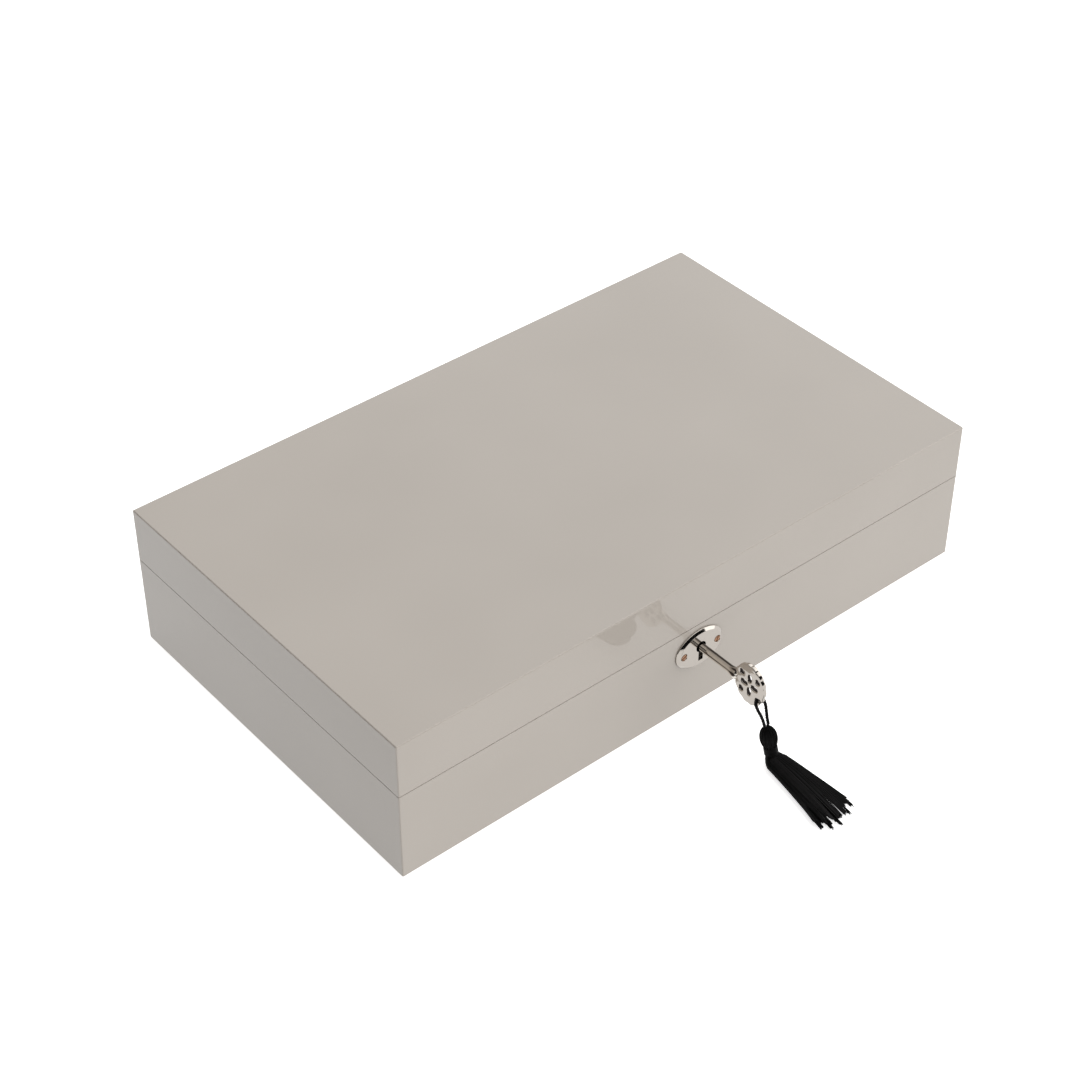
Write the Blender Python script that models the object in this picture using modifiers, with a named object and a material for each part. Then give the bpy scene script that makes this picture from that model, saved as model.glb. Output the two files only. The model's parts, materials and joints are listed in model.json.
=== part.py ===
"""A lidded, lockable jewellery chest in gloss lacquer, with its key and tassel.

Every distance is in metres.  The origin is the centre of the felt underside, +X runs to the
right seen from the lock side, +Y to the hinges and +Z up.  The lid is closed, the bolt is drawn
back, and the key stands in the lock with its bit pointing down.
"""
import math

import bmesh
import bpy
from mathutils import Matrix, Vector

MM = 0.001

# The closed chest.
WIDTH = 350 * MM
DEPTH = 206.4 * MM
HEIGHT = 80.9 * MM
SEAM_Z = 50.65 * MM
SEAM_GAP = 0.5 * MM
WALL = 12 * MM
LID_BOARD = 9 * MM
EDGE_ROUND = 0.7 * MM
GAP = 0.3 * MM

SCREW_SLOT = 0.6 * MM
SCREW_SLOT_DEEP = 0.4 * MM

# Underneath.
WALL_LOW = 0.5 * MM
FELT = 1.7 * MM
BODY_Z = FELT + GAP
BOTTOM_BOARD = 6 * MM
BOTTOM_REBATE = 4 * MM

# Linings, dividers and ring rolls.
LINING = 2 * MM
LINING_BELOW_RIM = 2 * MM
DIVIDER = 4 * MM
DIVIDER_HIGH = 30 * MM
RING_SECTION_WIDE = 100 * MM
RING_ROLLS = 5
RING_ROLL_HIGH = 24 * MM

# Lid mirror and the padded rails that hold it.
MIRROR = (296 * MM, 152 * MM, 2.5 * MM)
MIRROR_WINDOW = (280 * MM, 136 * MM)
FRAME_UNDER_MIRROR = 2.1 * MM

# Lock, keyhole and escutcheon.
KEY_Z = 38 * MM
KEYHOLE_ROUND = 3.0 * MM
KEYHOLE_SLOT = 2.8 * MM
KEYHOLE_DROP = 8.3 * MM
LOCK_WIDE = 38 * MM
LOCK_LOW = 23.2 * MM
LOCK_DEEP = 7 * MM
LOCK_SHEET = 1 * MM
LOCK_PLATE_WIDE = 50 * MM
LOCK_SCREW_X = 22 * MM
ESCUTCHEON = (29 * MM, 21.4 * MM, 1.6 * MM)
ESCUTCHEON_Z = 36.8 * MM
ESCUTCHEON_SCREW_X = 10.5 * MM
ESCUTCHEON_SCREW_Z = 36.9 * MM

# Bolt, cam and staple.
CAM_RADIUS = 5.5 * MM
CAM_SHEET = 1.3 * MM
CRANK_RADIUS = 4 * MM
CRANK_PIN = 0.7 * MM
BOLT_SHEET = 1.4 * MM
BOLT_LEFT = -16.6 * MM
BOLT_SHOULDER = 3.6 * MM
BOLT_TIP = 9.2 * MM
BOLT_LOW = 40.4 * MM
BOLT_HIGH = 48 * MM
NOSE_LOW = 44.9 * MM
NOSE_HIGH = 47.7 * MM
STUD = Vector((-8 * MM, 0, 46 * MM))
STUD_RADIUS = 0.9 * MM
STAPLE_X = 11 * MM
STAPLE_SHEET = 2 * MM
STAPLE_WIDE = 4 * MM
STAPLE_LOW = 43.2 * MM
STAPLE_EYE = (2.4 * MM, 3.8 * MM)
STRIKE = (36 * MM, 6.4 * MM, 1.2 * MM)
STRIKE_SCREW_X = 15 * MM

# Key.
SHANK = 2 * MM
BIT_THICK = 1.6 * MM
BIT_REACH = 7.8 * MM
BIT_LONG = 4.1 * MM
KEY_BORE = 1.2 * MM
KEY_BORE_LONG = 10 * MM
DRILL_PIN = 0.8 * MM
BOW_Y = -138.5 * MM
BOW_HALF = (9.3 * MM, 11.2 * MM)
BOW_THICK = 2.4 * MM
BOW_LOBES = 14
BOW_LOBE_HIGH = 0.4 * MM
CORD_HOLE = Vector((0, -144.2 * MM, 32.0 * MM))
CORD_HOLE_RADIUS = 1.5 * MM
INNER_PIERCING = (2.2 * MM, 1.3 * MM)
INNER_PIERCING_OUT = (3.3 * MM, 3.9 * MM)
OUTER_PIERCING = 1.4 * MM
OUTER_PIERCING_OUT = 7.2 * MM
FLARE_RADIUS = 2.8 * MM
FLARE_LONG = 4.5 * MM
WARD_WIDE = 0.8 * MM
WARD_DEEP = 3 * MM

# Hinges.
HINGE_X = 110 * MM
HINGE_LONG = 30 * MM
HINGE_SHEET = 1.2 * MM
HINGE_BEHIND = 2.4 * MM
KNUCKLE = 2 * MM
KNUCKLE_BORE = 1.0 * MM
HINGE_PIN = 0.7 * MM
HINGE_SCREW_X = 8 * MM
LEAF_INSET = 9 * MM

# Tassel.
CORD = 1.8 * MM
HEAD_TOP = Vector((0, -150.6 * MM, 20.2 * MM))
HEAD_FOOT = Vector((0, -154.2 * MM, 8.9 * MM))
HEAD_RADIUS = 4.3 * MM
SWING_ABOVE_HEAD = 1.2 * MM
BINDING = (3.2 * MM, 2.2 * MM)
SKIRT_END = Vector((-3.5 * MM, -203 * MM, 2.9 * MM))
SKIRT_BEND = 4 * MM
SKIRT_NECK = 2.9 * MM
SKIRT_SPREAD = 12.5 * MM
SKIRT_THINS = 0.7 * MM

FRONT_Y = -DEPTH / 2
BACK_Y = DEPTH / 2
INNER_X = WIDTH / 2 - WALL
INNER_Y = DEPTH / 2 - WALL
BASE_TOP = SEAM_Z - SEAM_GAP / 2
LID_LOW = SEAM_Z + SEAM_GAP / 2
LID_CEILING = HEIGHT - LID_BOARD
FLOOR_Z = BODY_Z + BOTTOM_BOARD + GAP
HINGE_AXIS = Vector((0, BACK_Y + HINGE_BEHIND, SEAM_Z))
LOCK_FRONT = -INNER_Y - LOCK_DEEP
LOCK_BACK = -INNER_Y
LOCK_TOP = BASE_TOP - 0.2 * MM
PLATE_FRONT = LOCK_BACK - LOCK_SHEET
CASE_BACK = PLATE_FRONT - GAP
CAM_FRONT = LOCK_FRONT + LOCK_SHEET + GAP
BOLT_FRONT = CAM_FRONT + CAM_SHEET + GAP
BOLT_BACK = BOLT_FRONT + BOLT_SHEET
SHANK_END = PLATE_FRONT - 2 * GAP


def new_collection(name):
    """Link an empty collection to the scene."""
    group = bpy.data.collections.new(name)
    bpy.context.scene.collection.children.link(group)
    return group


def surface(name, colour, roughness, metallic=0.0):
    """A Principled material."""
    made = bpy.data.materials.new(name)
    made.use_nodes = True
    shader = made.node_tree.nodes["Principled BSDF"]
    shader.inputs["Base Color"].default_value = (*colour, 1)
    shader.inputs["Roughness"].default_value = roughness
    shader.inputs["Metallic"].default_value = metallic
    return made


def place(thing, group, material=None):
    """Put an object in a collection and give it its own copy of a material."""
    group.objects.link(thing)
    if material:
        own = material.copy()
        own.name = f"{thing.name}_{material.name}"
        thing.data.materials.clear()
        thing.data.materials.append(own)
    if group is CUTTERS:
        thing.hide_render = True
        thing.display_type = "WIRE"
    return thing


def finished(name, form, group, material):
    """Turn a bmesh into a placed object."""
    data = bpy.data.meshes.new(name)
    form.to_mesh(data)
    form.free()
    return place(bpy.data.objects.new(name, data), group, material)


def block(name, low, high, material=None, group=None):
    """A box between two corners, with its origin at its centre."""
    low, high = Vector(low), Vector(high)
    form = bmesh.new()
    bmesh.ops.create_cube(form, size=1)
    bmesh.ops.scale(form, vec=high - low, verts=form.verts)
    made = finished(name, form, group or PARTS, material)
    made.location = (low + high) / 2
    return made


def rod(name, radius, start, end, material=None, group=None, tip=None, segments=24):
    """A cylinder or cone between two points."""
    start, end = Vector(start), Vector(end)
    form = bmesh.new()
    bmesh.ops.create_cone(form, cap_ends=True, segments=segments, radius1=radius,
                          radius2=radius if tip is None else tip, depth=(end - start).length)
    made = finished(name, form, group or PARTS, material)
    made.location = (start + end) / 2
    made.rotation_euler = (end - start).to_track_quat("Z", "Y").to_euler()
    made.data.shade_smooth()
    made.data.set_sharp_from_angle(angle=math.radians(40))
    return made


def turned(name, profile, start, direction, material=None, group=None, steps=24):
    """A profile of (radius, height) pairs, from its top to its foot, turned about a line."""
    data = bpy.data.meshes.new(name)
    data.from_pydata([(r, 0, z) for r, z in profile],
                     [(i, i + 1) for i in range(len(profile) - 1)], [])
    made = place(bpy.data.objects.new(name, data), group or PARTS, material)
    screw = made.modifiers.new("turn", "SCREW")
    screw.steps = steps
    screw.render_steps = steps
    screw.use_merge_vertices = True
    screw.merge_threshold = 0.00001
    made.location = start
    made.rotation_euler = Vector(direction).to_track_quat("Z", "Y").to_euler()
    return made


def flat(name, outlines, thickness, turn, centre, material=None, group=None):
    """A flat piece from closed outlines, the first outside and the rest its holes."""
    outline = bpy.data.curves.new(name, "CURVE")
    outline.dimensions = "2D"
    outline.fill_mode = "BOTH"
    outline.extrude = thickness / 2
    for points in outlines:
        spline = outline.splines.new("POLY")
        spline.points.add(len(points) - 1)
        for spot, (u, v) in zip(spline.points, points):
            spot.co = (u, v, 0, 1)
        spline.use_cyclic_u = True
    guide = bpy.data.objects.new(f"{name}_outline", outline)
    CUTTERS.objects.link(guide)
    guide.matrix_world = Matrix.Translation(centre) @ turn
    return as_mesh(name, guide, group or PARTS, material)


def as_mesh(name, guide, group, material):
    """Replace a curve by the closed mesh that it draws."""
    bpy.context.view_layer.update()
    drawn = guide.evaluated_get(bpy.context.evaluated_depsgraph_get())
    data = bpy.data.meshes.new_from_object(drawn)
    data.name = name
    form = bmesh.new()
    form.from_mesh(data)
    bmesh.ops.remove_doubles(form, verts=form.verts, dist=0.000001)
    bmesh.ops.recalc_face_normals(form, faces=form.faces)
    form.to_mesh(data)
    form.free()
    made = place(bpy.data.objects.new(name, data), group, material)
    made.matrix_world = guide.matrix_world.copy()
    bpy.data.objects.remove(guide)
    return made


def combine(thing, operation, others):
    """Add one Boolean for each other object, which becomes a cutter."""
    for other in others:
        step = thing.modifiers.new(other.name, "BOOLEAN")
        step.operation = operation
        step.object = other
        step.solver = "EXACT"
    return thing


def cut(thing, *cutters):
    """Take the cutters out of an object."""
    return combine(thing, "DIFFERENCE", cutters)


def join(thing, *others):
    """Unite an object with others."""
    return combine(thing, "UNION", others)


def hang(axis_name, centre, pieces):
    """Parent pieces to an empty that stands on their joint's axis."""
    empty = bpy.data.objects.new(axis_name, None)
    empty.empty_display_size = 0.01
    empty.location = centre
    PARTS.objects.link(empty)
    for piece in pieces:
        piece.parent = empty
        piece.matrix_parent_inverse = Matrix.Translation(centre).inverted()


def ellipse(half_wide, half_high, count, u=0.0, v=0.0):
    """Points round an ellipse."""
    turns = [2 * math.pi * i / count for i in range(count)]
    return [(u + half_wide * math.cos(a), v + half_high * math.sin(a)) for a in turns]


def smooth_route(points, steps):
    """Points on a Catmull-Rom curve through the given ones."""
    ends = [2 * points[0] - points[1], *points, 2 * points[-1] - points[-2]]
    route = []
    for i in range(1, len(points)):
        p0, p1, p2, p3 = ends[i - 1:i + 3]
        for step in range(steps):
            t = step / steps
            route.append(0.5 * (2 * p1 + (p2 - p0) * t + (2 * p0 - 5 * p1 + 4 * p2 - p3) * t ** 2
                                + (3 * p1 - p0 - 3 * p2 + p3) * t ** 3))
    return [*route, points[-1]]


def chest_slice(name, low_z, high_z, material):
    """The closed chest's rounded block, sawn off between two heights."""
    piece = block(name, (-WIDTH / 2, FRONT_Y, WALL_LOW), (WIDTH / 2, BACK_Y, HEIGHT), material)
    rounding = piece.modifiers.new("edges", "BEVEL")
    rounding.width = EDGE_ROUND
    rounding.segments = 3
    keep = block(f"{name}_keep", (-WIDTH, -DEPTH, low_z), (WIDTH, DEPTH, high_z), group=CUTTERS)
    return combine(piece, "INTERSECT", [keep])


def hollow(name, half_x, half_y, low_z, high_z):
    """A block cutter centred on the chest."""
    return block(name, (-half_x, -half_y, low_z), (half_x, half_y, high_z), group=CUTTERS)


def keyhole(name, front_y, back_y):
    """The keyhole's round and its slot, as two cutters along Y."""
    round_top = rod(f"{name}_round", KEYHOLE_ROUND, (0, front_y, KEY_Z), (0, back_y, KEY_Z),
                    group=CUTTERS)
    slot = block(f"{name}_slot", (-KEYHOLE_SLOT / 2, front_y, KEY_Z - KEYHOLE_DROP),
                 (KEYHOLE_SLOT / 2, back_y, KEY_Z), group=CUTTERS)
    return round_top, slot


def screw_profile(head, head_high, shaft, long, spare=0.0):
    """A countersunk screw below its flat top, or its hole with the spare added all round."""
    top = spare if spare else 0.0
    return [(0, top), (head + spare, top), (head + spare, -0.2 * MM),
            (shaft + spare, -head_high - spare), (shaft + spare, -long - spare),
            (0, -long - spare)]


def screw(name, sizes, top, direction, material=None):
    """A slotted countersunk screw that points away from the given direction."""
    made = turned(name, screw_profile(*sizes), top, direction, material or STEEL, steps=20)
    head = sizes[0]
    slot = block(f"{name}_slot", (-2 * head, -SCREW_SLOT / 2, -SCREW_SLOT_DEEP),
                 (2 * head, SCREW_SLOT / 2, MM), group=CUTTERS)
    slot.matrix_world = made_at(top, direction) @ Matrix.Translation(slot.location)
    return cut(made, slot)


def made_at(spot, direction):
    """The placing of something turned about a line."""
    turn = Vector(direction).to_track_quat("Z", "Y").to_matrix().to_4x4()
    return Matrix.Translation(spot) @ turn


def screw_hole(name, sizes, top, direction):
    """The cutter for a screw's hole and countersink."""
    return turned(name, screw_profile(*sizes, spare=GAP), top, direction, group=CUTTERS, steps=20)


def hinge_spots():
    """Each hinge's name and centre along X."""
    return [("left", -HINGE_X), ("right", HINGE_X)]


def leaf_screws(side, x):
    """The name and place along X of a leaf's two screws."""
    return [(f"{side}_{i + 1}", x + s * HINGE_SCREW_X) for i, s in enumerate((-1, 1))]


def base_carcass():
    """The four walls of the base, rebated below for the bottom board and its felt."""
    walls = chest_slice("base_carcass", -MM, BASE_TOP, LACQUER)
    pocket_x = LOCK_WIDE / 2 + GAP
    ledge_x = LOCK_PLATE_WIDE / 2 + GAP
    cut(walls,
        hollow("base_hollow", INNER_X, INNER_Y, -MM, HEIGHT),
        hollow("bottom_rebate", INNER_X + BOTTOM_REBATE + GAP, INNER_Y + BOTTOM_REBATE + GAP,
               -MM, FLOOR_Z),
        block("lock_pocket", (-pocket_x, LOCK_FRONT - GAP, LOCK_LOW - GAP),
              (pocket_x, 0, HEIGHT), group=CUTTERS),
        block("lock_ledge", (-ledge_x, PLATE_FRONT - GAP, LOCK_LOW - GAP),
              (ledge_x, 0, HEIGHT), group=CUTTERS),
        *keyhole("wall_keyhole", FRONT_Y - WALL, LOCK_FRONT))
    for side in (-1, 1):
        cut(walls,
            screw_hole(f"escutcheon_hole_{side}", ESCUTCHEON_SCREW, escutcheon_screw_top(side),
                       (0, -1, 0)),
            screw_hole(f"lock_hole_{side}", LOCK_SCREW,
                       (side * LOCK_SCREW_X, LOCK_BACK, KEY_Z), (0, 1, 0)))
    for side, x in hinge_spots():
        cut(walls, leaf_recess(f"base_recess_{side}", x, BASE_TOP - HINGE_SHEET - 1.5 * GAP,
                               HEIGHT))
        for mark, screw_x in leaf_screws(side, x):
            cut(walls, screw_hole(f"base_screw_hole_{mark}", HINGE_SCREW,
                                  (screw_x, LEAF_SCREW_Y, BASE_LEAF_TOP), (0, 0, 1)))
    return walls


def leaf_recess(name, x, low_z, high_z):
    """A cutter for a hinge leaf let into the back wall's edge."""
    half = HINGE_LONG / 2 + GAP
    return block(name, (x - half, BACK_Y - LEAF_INSET - GAP, low_z), (x + half, DEPTH, high_z),
                 group=CUTTERS)


def escutcheon_screw_top(side):
    """Where an escutcheon screw's head ends."""
    return (side * ESCUTCHEON_SCREW_X, ESCUTCHEON_FRONT, ESCUTCHEON_SCREW_Z)


def bottom_and_felt():
    """The bottom board in its rebate, and the felt of the same size glued under it."""
    half_x = INNER_X + BOTTOM_REBATE
    half_y = INNER_Y + BOTTOM_REBATE
    block("bottom_panel", (-half_x, -half_y, BODY_Z), (half_x, half_y, BODY_Z + BOTTOM_BOARD),
          BOARD)
    block("base_felt", (-half_x, -half_y, 0), (half_x, half_y, FELT), FELT_CLOTH)


def wall_linings(prefix, low_z, high_z):
    """Four covered cards against the walls: the long pair runs the full width."""
    outer_x = INNER_X - GAP
    outer_y = INNER_Y - GAP
    inner_y = outer_y - LINING
    pieces = []
    for side, sign in (("front", -1), ("back", 1)):
        near, far = sorted((sign * inner_y, sign * outer_y))
        pieces.append(block(f"{prefix}_lining_{side}", (-outer_x, near, low_z),
                            (outer_x, far, high_z), VELVET))
    for side, sign in (("left", -1), ("right", 1)):
        near, far = sorted((sign * (outer_x - LINING), sign * outer_x))
        pieces.append(block(f"{prefix}_lining_{side}", (near, GAP - inner_y, low_z),
                            (far, inner_y - GAP, high_z), VELVET))
    return pieces


def inside_of_base():
    """The floor lining, the dividers and the ring rolls."""
    half_x = INNER_X - LINING - 2 * GAP
    half_y = INNER_Y - LINING - 2 * GAP
    block("floor_lining", (-half_x, -half_y, FLOOR_Z), (half_x, half_y, FLOOR_Z + LINING), VELVET)
    low_z = FLOOR_Z + LINING + GAP
    high_z = low_z + DIVIDER_HIGH
    main_x = RING_SECTION_WIDE - half_x
    right_x = (main_x + DIVIDER + half_x) / 2
    half = DIVIDER / 2
    block("divider_main", (main_x, -half_y, low_z), (main_x + DIVIDER, half_y, high_z), VELVET)
    block("divider_left", (-half_x, -half, low_z), (main_x - GAP, half, high_z), VELVET)
    block("divider_long", (main_x + DIVIDER + GAP, -half, low_z), (half_x, half, high_z), VELVET)
    block("divider_front", (right_x - half, -half_y, low_z),
          (right_x + half, -half - GAP, high_z), VELVET)
    block("divider_back", (right_x - half, half + GAP, low_z),
          (right_x + half, half_y, high_z), VELVET)
    pitch = (half_y - half - GAP) / RING_ROLLS
    roll_half = (pitch - GAP) / 2
    for i in range(RING_ROLLS):
        centre = Vector(((main_x - GAP - half_x) / 2, (i + 0.5) * pitch - half_y, low_z))
        flat(f"ring_roll_{i + 1}", [roll_outline(roll_half)], main_x - GAP + half_x,
             ALONG_X, centre, VELVET)


def roll_outline(half_wide):
    """A ring roll's section: a flat foot and a half-round top."""
    arc = [math.pi * i / 10 for i in range(11)]
    shoulder = RING_ROLL_HIGH - half_wide
    top = [(half_wide * math.cos(a), shoulder + half_wide * math.sin(a)) for a in arc]
    return [(half_wide, 0), *top, (-half_wide, 0)]


def lid():
    """The lid's shell, linings, mirror and mirror frame."""
    shell = chest_slice("lid_shell", LID_LOW, 2 * HEIGHT, LACQUER)
    cut(shell, hollow("lid_hollow", INNER_X, INNER_Y, 0, LID_CEILING))
    recess_x = STRIKE[0] / 2 + GAP
    recess_y = STRIKE[1] / 2 + GAP
    cut(shell, block("strike_recess", (-recess_x, STAPLE_Y - recess_y, 0),
                     (recess_x, STAPLE_Y + recess_y, LID_LOW + STRIKE[2] + GAP), group=CUTTERS))
    for side in (-1, 1):
        cut(shell, screw_hole(f"strike_hole_{side}", STRIKE_SCREW,
                              (side * STRIKE_SCREW_X, STAPLE_Y, LID_LOW), (0, 0, -1)))
    for side, x in hinge_spots():
        cut(shell, leaf_recess(f"lid_recess_{side}", x, 0, LID_LOW + HINGE_SHEET + 1.5 * GAP))
        for mark, screw_x in leaf_screws(side, x):
            cut(shell, screw_hole(f"lid_screw_hole_{mark}", HINGE_SCREW,
                                  (screw_x, LEAF_SCREW_Y, LID_LEAF_LOW), (0, 0, -1)))
    linings = wall_linings("lid", LID_LOW + LINING_BELOW_RIM, LID_CEILING - GAP)
    half_x = INNER_X - LINING - 2 * GAP
    half_y = INNER_Y - LINING - 2 * GAP
    mirror_high = LID_CEILING - GAP
    mirror_low = mirror_high - MIRROR[2]
    mirror = block("lid_mirror", (-MIRROR[0] / 2, -MIRROR[1] / 2, mirror_low),
                   (MIRROR[0] / 2, MIRROR[1] / 2, mirror_high), GLASS)
    frame_low = mirror_low - GAP - FRAME_UNDER_MIRROR
    window_x = MIRROR_WINDOW[0] / 2
    window_y = MIRROR_WINDOW[1] / 2
    rails = [
        block("mirror_frame_front", (-half_x, -half_y, frame_low),
              (half_x, -window_y, mirror_high), VELVET),
        block("mirror_frame_back", (-half_x, window_y, frame_low),
              (half_x, half_y, mirror_high), VELVET),
        block("mirror_frame_left", (-half_x, GAP - window_y, frame_low),
              (-window_x, window_y - GAP, mirror_high), VELVET),
        block("mirror_frame_right", (window_x, GAP - window_y, frame_low),
              (half_x, window_y - GAP, mirror_high), VELVET)]
    for rail in rails:
        cut(rail, hollow(f"{rail.name}_rebate", MIRROR[0] / 2 + GAP, MIRROR[1] / 2 + GAP,
                         mirror_low - GAP, HEIGHT))
    return [shell, *linings, mirror, *rails]


def leaf(name, x, plate_low, plate_high, knuckles):
    """A hinge leaf: its plate, and a tongue and a knuckle for each stretch along X."""
    plate = block(name, (x - HINGE_LONG / 2, BACK_Y - LEAF_INSET, plate_low),
                  (x + HINGE_LONG / 2, BACK_Y, plate_high), STEEL)
    for i, (start, end) in enumerate(knuckles):
        tongue = block(f"{name}_tongue_{i}", (x + start, BACK_Y - MM, plate_low),
                       (x + end, HINGE_AXIS.y, plate_high), group=CUTTERS)
        barrel = rod(f"{name}_barrel_{i}", KNUCKLE, (x + start, HINGE_AXIS.y, SEAM_Z),
                     (x + end, HINGE_AXIS.y, SEAM_Z), group=CUTTERS)
        join(plate, tongue, barrel)
    bore = rod(f"{name}_bore", KNUCKLE_BORE, (x - HINGE_LONG, HINGE_AXIS.y, SEAM_Z),
               (x + HINGE_LONG, HINGE_AXIS.y, SEAM_Z), group=CUTTERS, segments=16)
    return cut(plate, bore)


def hinges():
    """Two butt hinges with a three-part knuckle behind the back wall."""
    third = HINGE_LONG / 6
    moving = []
    for side, x in hinge_spots():
        low = leaf(f"hinge_{side}_base_leaf", x, BASE_LEAF_TOP - HINGE_SHEET, BASE_LEAF_TOP,
                   [(GAP / 2 - third, third - GAP / 2)])
        high = leaf(f"hinge_{side}_lid_leaf", x, LID_LEAF_LOW, LID_LEAF_LOW + HINGE_SHEET,
                    [(-3 * third, -third - GAP / 2), (third + GAP / 2, 3 * third)])
        rod(f"hinge_{side}_pin", HINGE_PIN, (x - HINGE_LONG / 2, HINGE_AXIS.y, SEAM_Z),
            (x + HINGE_LONG / 2, HINGE_AXIS.y, SEAM_Z), STEEL, segments=16)
        moving.append(high)
        for mark, screw_x in leaf_screws(side, x):
            base_top = Vector((screw_x, LEAF_SCREW_Y, BASE_LEAF_TOP))
            lid_top = Vector((screw_x, LEAF_SCREW_Y, LID_LEAF_LOW))
            cut(low, screw_hole(f"base_leaf_hole_{mark}", HINGE_SCREW, base_top, (0, 0, 1)))
            cut(high, screw_hole(f"lid_leaf_hole_{mark}", HINGE_SCREW, lid_top, (0, 0, -1)))
            screw(f"hinge_screw_base_{mark}", HINGE_SCREW, base_top, (0, 0, 1))
            moving.append(screw(f"hinge_screw_lid_{mark}", HINGE_SCREW, lid_top, (0, 0, -1)))
    return moving


def lock():
    """The lock's case, back plate, drill pin and screws, let into the front wall."""
    half = LOCK_WIDE / 2
    case = block("lock_case", (-half, LOCK_FRONT, LOCK_LOW), (half, CASE_BACK, LOCK_TOP), STEEL)
    slot_half = STAPLE_SHEET / 2 + 2 * GAP
    cut(case,
        block("case_hollow", (LOCK_SHEET - half, LOCK_FRONT + LOCK_SHEET, LOCK_LOW + LOCK_SHEET),
              (half - LOCK_SHEET, 0, LOCK_TOP - LOCK_SHEET), group=CUTTERS),
        block("staple_slot", (STAPLE_X - slot_half, LOCK_FRONT + LOCK_SHEET, STAPLE_LOW),
              (STAPLE_X + slot_half, 0, HEIGHT), group=CUTTERS),
        *keyhole("case_keyhole", FRONT_Y, LOCK_FRONT + 1.5 * LOCK_SHEET))
    join(case, rod("guide_stud", STUD_RADIUS, (STUD.x, LOCK_FRONT + LOCK_SHEET / 2, STUD.z),
                   (STUD.x, CASE_BACK, STUD.z), group=CUTTERS, segments=16))
    plate = block("lock_back_plate", (-LOCK_PLATE_WIDE / 2, PLATE_FRONT, LOCK_LOW),
                  (LOCK_PLATE_WIDE / 2, LOCK_BACK, LOCK_TOP), STEEL)
    cut(plate, rod("pin_hole", DRILL_PIN + GAP, (0, FRONT_Y, KEY_Z), (0, 0, KEY_Z),
                   group=CUTTERS, segments=16))
    rod("drill_pin", DRILL_PIN, (0, LOCK_BACK, KEY_Z),
        (0, SHANK_END - KEY_BORE_LONG + MM, KEY_Z), STEEL, segments=16)
    for side, mark in ((-1, "left"), (1, "right")):
        top = Vector((side * LOCK_SCREW_X, LOCK_BACK, KEY_Z))
        cut(plate, screw_hole(f"plate_hole_{mark}", LOCK_SCREW, top, (0, 1, 0)))
        screw(f"lock_screw_{mark}", LOCK_SCREW, top, (0, 1, 0))


def escutcheon():
    """The oval plate round the keyhole, with its two screws."""
    plate = flat("escutcheon", [ellipse(ESCUTCHEON[0] / 2, ESCUTCHEON[1] / 2, 48)],
                 ESCUTCHEON[2], FACING_FRONT,
                 Vector((0, FRONT_Y - GAP - ESCUTCHEON[2] / 2, ESCUTCHEON_Z)), NICKEL)
    cut(plate, *keyhole("plate_keyhole", FRONT_Y - WALL, FRONT_Y))
    for side, mark in ((-1, "left"), (1, "right")):
        top = escutcheon_screw_top(side)
        cut(plate, screw_hole(f"escutcheon_plate_hole_{mark}", ESCUTCHEON_SCREW, top, (0, -1, 0)))
        screw(f"escutcheon_screw_{mark}", ESCUTCHEON_SCREW, top, (0, -1, 0), BRASS)


def strike():
    """The lid's strike plate, with the staple that the bolt passes through, and its screws."""
    half_x = STRIKE[0] / 2
    half_y = STRIKE[1] / 2
    plate = block("strike_plate", (-half_x, STAPLE_Y - half_y, LID_LOW),
                  (half_x, STAPLE_Y + half_y, LID_LOW + STRIKE[2]), STEEL)
    join(plate, block("staple", (STAPLE_X - STAPLE_SHEET / 2, STAPLE_Y - STAPLE_WIDE / 2,
                                 STAPLE_LOW),
                      (STAPLE_X + STAPLE_SHEET / 2, STAPLE_Y + STAPLE_WIDE / 2,
                       LID_LOW + STRIKE[2] / 2), group=CUTTERS))
    eye_z = (NOSE_LOW + NOSE_HIGH) / 2
    cut(plate, block("staple_eye", (0, STAPLE_Y - STAPLE_EYE[0] / 2, eye_z - STAPLE_EYE[1] / 2),
                     (WALL + STAPLE_X, STAPLE_Y + STAPLE_EYE[0] / 2, eye_z + STAPLE_EYE[1] / 2),
                     group=CUTTERS))
    moving = [plate]
    for side, mark in ((-1, "left"), (1, "right")):
        top = Vector((side * STRIKE_SCREW_X, STAPLE_Y, LID_LOW))
        cut(plate, screw_hole(f"strike_plate_hole_{mark}", STRIKE_SCREW, top, (0, 0, -1)))
        moving.append(screw(f"strike_screw_{mark}", STRIKE_SCREW, top, (0, 0, -1)))
    return moving


def lock_bolt():
    """The sliding bolt: a plate with a nose, a notch for the crank pin and a guide slot."""
    bolt = block("lock_bolt", (BOLT_LEFT, BOLT_FRONT, BOLT_LOW),
                 (BOLT_SHOULDER, BOLT_BACK, BOLT_HIGH), STEEL)
    join(bolt, block("bolt_nose", (BOLT_SHOULDER - MM, BOLT_FRONT, NOSE_LOW),
                     (BOLT_TIP, BOLT_BACK, NOSE_HIGH), group=CUTTERS))
    notch_x = -CRANK_RADIUS * math.sin(math.pi / 4)
    notch_half = CRANK_PIN + GAP
    notch_high = KEY_Z + CRANK_RADIUS + CRANK_PIN + GAP
    throw = 2 * CRANK_RADIUS * math.sin(math.pi / 4)
    slot_half = STUD_RADIUS + GAP
    cut(bolt,
        block("crank_notch", (notch_x - notch_half, FRONT_Y, 0),
              (notch_x + notch_half, 0, notch_high), group=CUTTERS),
        block("guide_slot", (STUD.x - throw - slot_half, FRONT_Y, STUD.z - slot_half),
              (STUD.x + slot_half, 0, STUD.z + slot_half), group=CUTTERS))
    return bolt


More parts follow.
